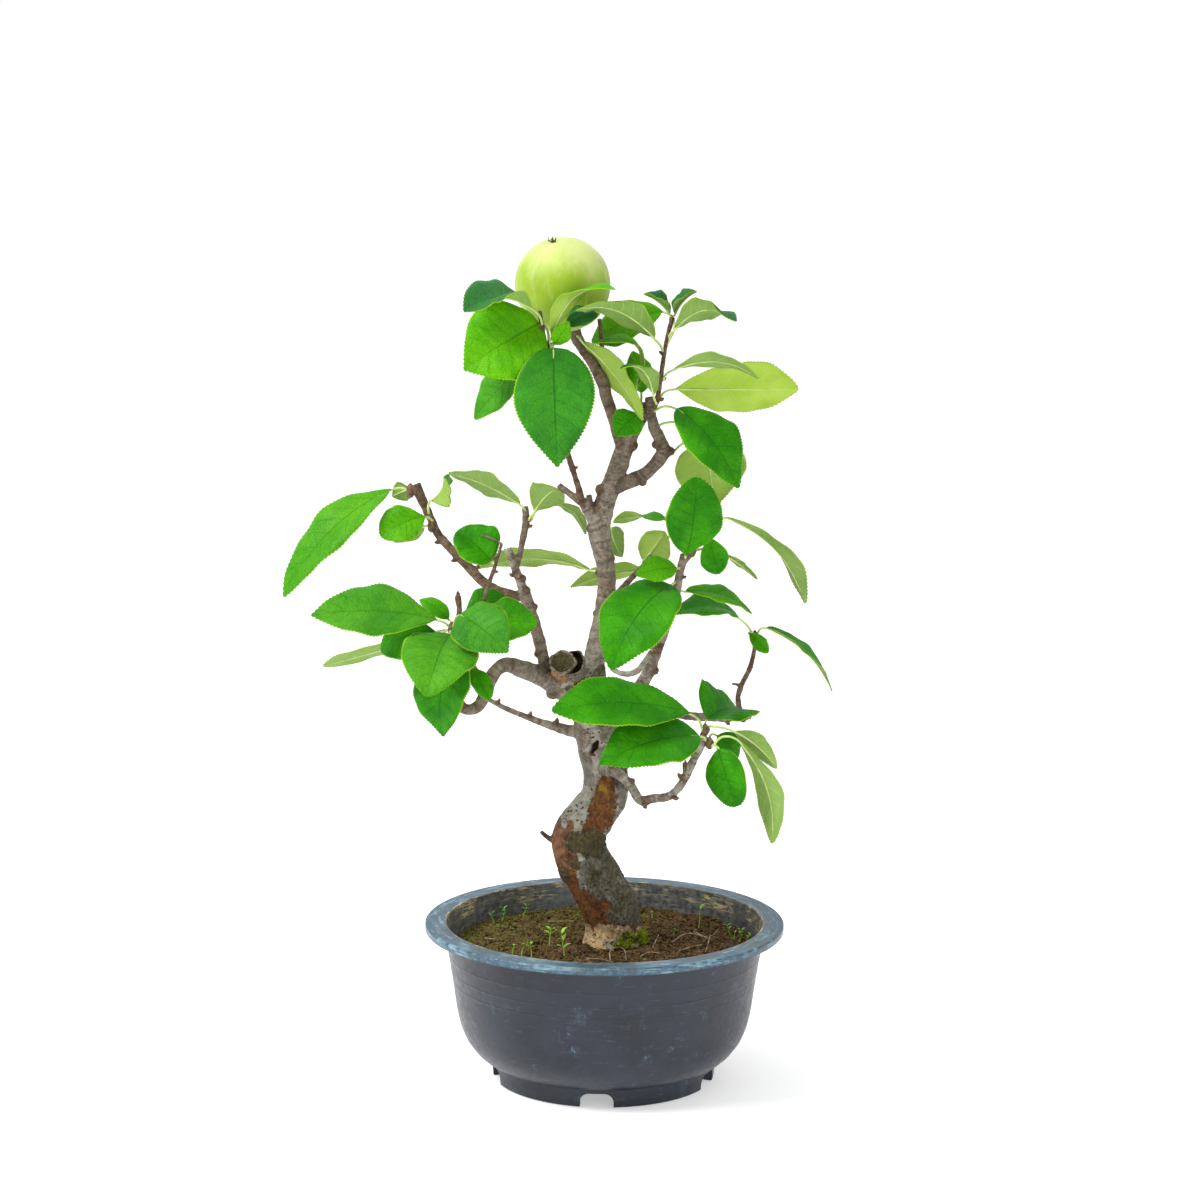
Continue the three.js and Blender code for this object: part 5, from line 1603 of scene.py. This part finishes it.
def soil_material():
    """Damp brown earth with lighter and ruddy grains and a green film, thickest at the left and the back."""
    material, tree, shader, place = surface("soil")
    shade_of = painted(tree, "shade")
    grain = use(tree, GRAIN, Place=place, Scale=900.0)
    broad = clouds(tree, place, 60.0, 4.0, 0.6)
    dark = toned(tree, grain["Height"], 0.4, 1.0, (0.030, 0.013, 0.004), (0.125, 0.062, 0.018))
    light = toned(tree, grain["Height"], 0.4, 1.0, (0.120, 0.080, 0.032), (0.270, 0.195, 0.095))
    ruddy = toned(tree, broad, 0.45, 0.6, dark, (0.100, 0.042, 0.010), 0.6)
    shady = step(tree, clouds(tree, place, 190.0, 4.0, 0.6), 0.42, 0.60, 0.75, 0.0)
    ruddy = mixed(tree, shady, ruddy, (0.012, 0.006, 0.002))
    colour = mixed(tree, shade_of, ruddy, light)
    speckled = step(tree, cells(tree, place, 430.0), 0.16, 0.26, 1.0, 0.0)
    kinds = clouds(tree, place, 150.0, 3.0, 0.6)
    tawny = times(tree, speckled, step(tree, kinds, 0.50, 0.54))
    colour = mixed(tree, tawny, colour, (0.300, 0.205, 0.090))
    amber = times(tree, speckled, step(tree, kinds, 0.40, 0.44, 1.0, 0.0))
    colour = mixed(tree, amber, colour, (0.230, 0.090, 0.016))
    x, y, _ = from_axis(tree, place)
    damp = scaled(tree, x, -0.7, times(tree, y, 0.5))
    film = plus(tree, damp, clouds(tree, place, 240.0, 6.0, 0.75))
    film = times(tree, step(tree, film, 0.53, 0.65), step(tree, grain["Height"], 0.35, 0.75))
    colour = over(tree, colour, film, 0.60, (0.100, 0.135, 0.008))
    dressed(tree, shader, colour, 0.95, 0.2)
    relief(tree, shader, grain["Height"], 0.8, 0.0005)
    return material


SOIL = soil_material()


def taken_faces(piece):
    """The faces of a template, each as its points' numbers. The template itself is removed."""
    faces = np.array([list(face.vertices) for face in piece.data.polygons])
    bpy.data.objects.remove(piece)
    return faces


def crumb_templates():
    """A few small irregular crumbs of soil."""
    crumbs = []
    for kind in range(4):
        deselect()
        bpy.ops.mesh.primitive_ico_sphere_add(subdivisions=1, radius=1, location=(0, 0, 0))
        crumb = bpy.context.active_object
        points = points_of(crumb)
        jitter = np.array([noise.noise_vector(Vector(p) * 1.3 + Vector((kind * 7, 0, 0))) for p in points])
        points = (points + 0.55 * jitter) * (1, 0.85, 0.7)
        crumbs.append((points, taken_faces(crumb)))
    return crumbs


def scattered(name, places, templates):
    """One mesh of many small copies: each place is (point, size, turn about Z, tilt, shade)."""
    all_points, all_faces, shades = [], [], []
    count = 0
    for i, (point, size, turn, tilt, tone) in enumerate(places):
        points, faces = templates[i % len(templates)]
        matrix = Matrix.Rotation(turn, 3, "Z") @ Matrix.Rotation(tilt, 3, "X")
        all_points.append(points @ np.array(matrix).T * size * MM + np.array(point))
        all_faces.append(faces + count)
        shades.append(np.full(len(points), tone))
        count += len(points)
    mesh = bpy.data.meshes.new(name)
    mesh.from_pydata(np.vstack(all_points).tolist(), [], np.vstack(all_faces).tolist())
    piece = linked(name, mesh)
    paint(piece, "shade", np.concatenate(shades))
    return piece


def earth_top():
    """The crumbly skin of the packed soil: a square grid drawn out to a disc and lumped."""
    deselect()
    bpy.ops.mesh.primitive_grid_add(x_subdivisions=SKIN_STEPS, y_subdivisions=SKIN_STEPS, size=2)
    skin = bpy.context.active_object
    skin.name = "soil_skin"
    points = points_of(skin)
    x, y = points[:, 0], points[:, 1]
    flat = np.stack([x * np.sqrt(1 - y * y / 2), y * np.sqrt(1 - x * x / 2)], axis=1) * SOIL_RADIUS
    heights = []
    for x, y in flat:
        lumps = noise.voronoi(Vector((x / 3.6, y / 3.6, 0.3)))[0][0]
        crumbly = noise.noise(Vector((x / 1.5, y / 1.5, 0)))
        swell = noise.noise(Vector((x / 13, y / 13, 5)))
        edge = float(smooth(hypot(x, y), SOIL_RADIUS - 3, SOIL_RADIUS))
        heights.append(soil_height(x, y) + 1.3 - 1.5 * lumps + 0.35 * crumbly + 1.1 * swell + 0.8 * edge)
    move_points(skin, np.column_stack([flat, heights]) * MM + np.array(POT_AXIS))
    paint(skin, "shade", [0.5 * noise.noise(Vector((px / 2.2, py / 2.2, 9))) + 0.12 for px, py in flat])
    bpy.ops.object.mode_set(mode="EDIT")
    select_open_edge()
    bpy.ops.mesh.extrude_edges_move(TRANSFORM_OT_translate={"value": (0, 0, -5 * MM)})
    bpy.ops.mesh.edge_face_add()
    bpy.ops.mesh.select_all(action="SELECT")
    bpy.ops.mesh.normals_make_consistent(inside=False)
    bpy.ops.object.mode_set(mode="OBJECT")
    coated(skin, SOIL)
    shade(skin, 70)
    return finished(skin, "soil")


def soil():
    """The packed soil body stays, under a crumbly skin and loose crumbs."""
    coated(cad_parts["soil"], SOIL)
    earth_top()
    places = []
    trunk = placed(*TRUNK_AT_SOIL) - POT_AXIS
    while len(places) < CRUMB_COUNT:
        angle = random.uniform(0, 2 * pi)
        reach = SOIL_RADIUS * random.uniform(0, 1) ** 0.5 * 0.995
        x, y = reach * cos(angle), reach * sin(angle)
        if hypot(x - trunk.x / MM, y - trunk.y / MM) < CRUMB_CLEARANCE:
            continue
        size = random.choice([0.55, 0.8, 1.1, 1.6], p=[0.35, 0.35, 0.22, 0.08]) * random.uniform(0.8, 1.2)
        reach_limit = SOIL_RADIUS - size
        if reach > reach_limit:
            x, y = x * reach_limit / reach, y * reach_limit / reach
        point = POT_AXIS + Vector((x, y, soil_height(x, y) + 0.7 + random.uniform(-0.3, 0.5) * size)) * MM
        tone = random.choice([0.0, 0.2, 0.5, 0.9], p=[0.5, 0.28, 0.16, 0.06])
        places.append((point, size, random.uniform(0, FULL_TURN), random.uniform(-0.8, 0.8), tone))
    crumbs = scattered("soil_crumbs", places, crumb_templates())
    coated(crumbs, SOIL)
    shade(crumbs)
    return finished(crumbs, "soil")


# What grows and lies on the soil

# Seedlings: where the foot shows at x and z of the front view, height, lean to the right, leaf pairs, youth
SEEDLINGS = [
    (-37, 87.2, 10.5, 0.10, 2, 0.9), (-26.8, 80.2, 14, -0.15, 3, 1.0), (-55.6, 80.4, 6, 0.2, 1, 0.8),
    (-48.9, 79.7, 8, -0.1, 2, 0.6), (-61.7, 81.8, 5, 0.3, 1, 0.9), (-68.8, 104.7, 8, 0.1, 3, 0.3),
    (-61, 110.8, 6, 0.4, 2, 0.4), (-74, 103, 6, -0.3, 2, 0.2), (63.2, 100.3, 12.5, 0.05, 1, 0.6),
    (84.7, 95.4, 6, -0.4, 2, 0.5), (90.7, 91.2, 7, 0.2, 3, 0.5), (96.1, 88.4, 6, 0.5, 2, 0.4),
    (87, 93, 4, 0.1, 1, 0.6), (31.8, 107.4, 3, 0, 1, 0.2), (46.5, 95.6, 3, 0.3, 1, 0.2),
]
# Dry stems and straws: points at x and z of the front view with the height above the soil
DRY_STEMS = [
    [(45, 89.4, 1), (57, 92.8, 4), (68, 92, 2.5), (77, 95.4, 5)], [(71, 92.7, 3), (70, 88, 3), (68, 83, 1)],
    [(4, 77.3, 0.5), (4.5, 80, 4.5), (10.9, 81, 5.5), (14.9, 77.2, 0.5)], [(32.4, 86.1, 0.5), (36.4, 91, 5)],
    [(60, 97, 1), (66, 92, 3), (72, 90, 2)], [(50, 84, 0.6), (60, 86, 1.8), (66, 88, 1)],
    [(-20, 104, 0.5), (-30, 103, 1.5), (-38, 104, 0.6)], [(24, 80, 0.4), (30, 82, 1.4), (40, 82, 0.5)],
    [(-12, 77.5, 0.5), (-4, 76.5, 2), (6, 75.8, 0.8)], [(-80, 92, 0.5), (-74, 90, 2), (-70, 91, 0.6)],
]


def on_soil(x, z, above=0.0):
    """The point above the soil on the sight line through x and z of the front view."""
    level = SOIL_LEVEL + 1
    for _ in range(3):
        reach = (level - VIEWPOINT.z) / (z - VIEWPOINT.z)
        across, depth = VIEWPOINT.x + (x - VIEWPOINT.x) * reach, (reach - 1) * -VIEWPOINT.y
        level = soil_height(across, depth) + 0.8
    inward = min(1, 95 / hypot(across, depth))
    across, depth = across * inward, depth * inward
    return POT_AXIS + Vector((across, depth, level + above)) * MM


def leaflet(base, tip, width):
    """A small pointed leaf, folded a little along its middle."""
    deselect()
    bpy.ops.mesh.primitive_grid_add(x_subdivisions=8, y_subdivisions=4, size=1)
    leaf = bpy.context.active_object
    points = points_of(leaf)
    u, s = points[:, 0] + 0.5, points[:, 1] * 2
    half = width / 2 * np.sin(pi * np.clip(u * 0.96 + 0.02, 0, 1)) ** 0.8
    length = (tip - base).length
    along = (tip - base).normalized()
    across = along.cross(Vector((0, 0, 1))).normalized()
    up = across.cross(along)
    lift = (0.35 * half * np.abs(s) + 0.12 * length / MM * np.sin(pi * u)) * MM
    spots = np.outer(u * length, along) + np.outer(s * half * MM, across) + np.outer(lift, up)
    move_points(leaf, spots + np.array(base))
    return leaf


def seedlings():
    """Small seedlings: a thin stalk with pairs of pointed leaves."""
    stalks, blades = [], []
    for x, z, height, lean, pairs, youth_and_light in SEEDLINGS:
        foot = on_soil(x, z)
        top = foot + Vector((lean * height, random.uniform(-0.2, 0.2) * height, height)) * MM
        middle = foot.lerp(top, 0.5) + Vector((random.uniform(-0.5, 0.5), 0, 0)) * MM
        stalks.append([(foot, 0.45), (middle, 0.35), (top, 0.25)])
        for pair in range(pairs):
            base = foot.lerp(top, 1 - 0.32 * pair)
            turn = random.uniform(0, pi)
            for side in (0, pi):
                size = 0.30 * height * random.uniform(0.8, 1.1) + 0.8
                way = Vector((cos(turn + side), sin(turn + side), random.uniform(0.5, 1.1))) * size
                leaf = leaflet(base, base + way * MM, 0.5 * size + 0.4)
                paint(leaf, "youth_and_light", youth_and_light)
                blades.append(leaf)
    foliage = joined("seedling_leaves", blades)
    modified(foliage, "SOLIDIFY", thickness=0.15 * MM, offset=0)
    stalk = stems("seedling_stalks", stalks, 6, 4)
    paint(stalk, "youth_and_light", 0.8)
    for part in (foliage, stalk):
        coated(part, SPROUT)
    piece = joined("seedlings", [foliage, stalk])
    shade(piece)
    return finished(piece, "leaf")


def dry_stems():
    """Dry stems and straws that lie or lean on the soil."""
    paths = []
    for row in DRY_STEMS:
        count = len(row) - 1
        paths.append([(on_soil(*spot), 0.5 - 0.22 * i / count) for i, spot in enumerate(row)])
    piece = stems("dry_stems", paths, 6, 6)
    coated(piece, STRAW)
    shade(piece)
    return finished(piece, "bark")


def moss_tuft():
    """A tuft of five thin pointed moss leaves."""
    blades = []
    for i in range(5):
        deselect()
        bpy.ops.mesh.primitive_cone_add(vertices=3, radius1=0.2, depth=2.2, location=(0, 0, 1.0))
        blade = bpy.context.active_object
        tilt = Matrix.Rotation(2 * pi * i / 5, 4, "Z") @ Matrix.Rotation(radians(48 if i else 8), 4, "X")
        blade.matrix_world = tilt @ blade.matrix_world
        settle(blade)
        blades.append(blade)
    tuft = joined("tuft", blades)
    modified(tuft, "TRIANGULATE")
    return points_of(tuft), taken_faces(tuft)


def tuft_place(point, sizes, tilt, brightest):
    """A tuft's place, with its size, turn, tilt and shade drawn in this order."""
    size, turn = random.uniform(*sizes), random.uniform(0, FULL_TURN)
    return point, size, turn, random.uniform(-tilt, tilt), random.uniform(0, brightest)


def moss():
    """Moss on the right flank of the trunk's foot, and specks of it over the soil."""
    places = []
    foot = placed(*TRUNK_OVER_SOIL)
    for _ in range(MOSS_TRIES_ON_TRUNK):
        angle = radians(random.uniform(-95, 0))
        climb = random.uniform(0, 1) ** 1.4
        reach = MOSS_AT_TRUNK + MOSS_SPREAD * (1 - climb) * random.uniform(0, 1) ** 2.5
        x, y = foot.x + reach * cos(angle) * MM, foot.y + reach * sin(angle) * MM
        base = soil_height((x - POT_AXIS.x) / MM, (y - POT_AXIS.y) / MM) + 0.6
        clump = noise.noise(Vector((angle * 2.2, climb * 3, 5)))
        if clump < -0.12 or random.uniform(0, 1) < 0.6 * climb * (1 - sin(-angle) ** 2):
            continue
        point = Vector((x, y, (base + MOSS_CLIMB * climb * smooth(clump, -0.3, 0.3)) * MM))
        if reach > MOSS_AT_TRUNK + 3:
            point.z = base * MM
        places.append(tuft_place(point, (1.0, 2.1), 0.7, 1))
    while len(places) < MOSS_COUNT:
        angle, reach = random.uniform(0, 2 * pi), MOSS_RADIUS * random.uniform(0, 1) ** 0.5
        x, y = reach * cos(angle), reach * sin(angle)
        patch = noise.noise(Vector((x / 11, y / 11, 2))) + (y - 1.2 * x - 40) / 300
        if hypot(x - 6, y) < MOSS_CLEARANCE or random.uniform(0, 1) > smooth(patch, 0.05, 0.45):
            continue
        point = POT_AXIS + Vector((x, y, soil_height(x, y) + 0.7)) * MM
        places.append(tuft_place(point, (0.3, 0.6), 0.4, 0.8))
    piece = scattered("moss", places, [moss_tuft()])
    coated(piece, MOSS)
    return finished(piece, "soil")


def moss_green():
    """Moss from dark to yellow green, by tuft and in clouds."""
    material, tree, shader, place = surface("moss")
    tint = scaled(tree, clouds(tree, place, 120.0, 3.0), 0.8, times(tree, painted(tree, "shade"), 0.4))
    green = toned(tree, tint, 0.38, 0.75, (0.020, 0.036, 0.003), (0.400, 0.470, 0.020))
    dressed(tree, shader, green, 0.8)
    return material


def sprout():
    """Green of the seedlings, yellower where they are young."""
    material, tree, shader, _ = surface("sprout")
    green = mixed(tree, painted(tree, "youth_and_light"), (0.045, 0.230, 0.010), (0.330, 0.560, 0.060))
    dressed(tree, shader, green, 0.55)
    return material


MOSS = moss_green()
SPROUT = sprout()
STRAW = two_toned("dry_stem", (200.0, 4.0, 0.7), (0.130, 0.080, 0.045), (0.420, 0.330, 0.210), 0.8)


# Stage, light and camera

# Round soft lights: place in metres, size across and power in watts
LIGHTS = [("key_light", (-1.6, -0.8, 2.2), 1.2, 66), ("fill_light", (1.3, -2.0, 0.7), 1.8, 14)]


def stage():
    """A plain pale floor under a soft white sky, with a wide light from the upper left and a weak fill."""
    deselect()
    bpy.ops.mesh.primitive_circle_add(vertices=128, radius=60, fill_type="NGON", location=(0, 0, -0.0004))
    floor = bpy.context.active_object
    floor.name = "floor"
    settle(floor)
    material, floor_tree, shader, _ = surface("pale_floor")
    dressed(floor_tree, shader, (0.93, 0.93, 0.93), 0.95, 0.0)
    shader.inputs["Emission Color"].default_value = (1, 1, 1, 1)
    shader.inputs["Emission Strength"].default_value = 0.42
    coated(floor, material)
    world = bpy.data.worlds.new("studio")
    bpy.context.scene.world = world
    world.use_nodes = True
    tree = world.node_tree
    way = node(tree, "TexCoord").outputs["Generated"]
    split = node(tree, "SeparateXYZ", way).outputs
    overhead = step(tree, split[2], -0.1, 0.8, 0.45, 1.15)
    behind = step(tree, split[1], -0.7, 0.5, 0.45, 1.0)
    lit = times(tree, overhead, behind)
    shown = node(tree, "LightPath").outputs["Is Camera Ray"]
    background = tree.nodes["Background"]
    background.inputs["Color"].default_value = (1.0, 1.0, 1.0, 1)
    tree.links.new(maths(tree, "MAXIMUM", lit, shown), background.inputs["Strength"])
    for name, place, size, power in LIGHTS:
        softbox(name, place, size, power)


def softbox(name, place, size, power):
    """A round soft light that looks at the middle of the tree."""
    light = bpy.data.lights.new(name, "AREA")
    light.shape = "DISK"
    light.size = size
    light.energy = power
    lamp = linked(name, light)
    lamp.location = place
    aim = POT_AXIS + Vector((0, 0, 0.28)) - Vector(place)
    lamp.rotation_euler = aim.to_track_quat("-Z", "Y").to_euler()


def camera():
    """The photograph's viewpoint: level with the top of the tree, looking slightly down."""
    lens = bpy.data.cameras.new("camera")
    lens.lens = CAMERA_LENS
    lens.sensor_width = 36
    lens.clip_start = 0.1
    eye = linked("camera", lens)
    eye.location = POT_AXIS + Vector((CAMERA_X, VIEWPOINT.y, VIEWPOINT.z)) * MM
    pitch = Matrix.Rotation(radians(90 - CAMERA_PITCH), 3, "X")
    eye.rotation_euler = (pitch @ Matrix.Rotation(radians(-CAMERA_ROLL), 3, "Z")).to_euler()
    bpy.context.scene.camera = eye


# Everything is made, in an order that also sets the order of the random draws

camera()
stage()
pot()
soil()
seedlings()
dry_stems()
moss()
wood()
cut_stump()
fruit()
leaves()
bpy.context.scene.view_settings.view_transform = "Standard"
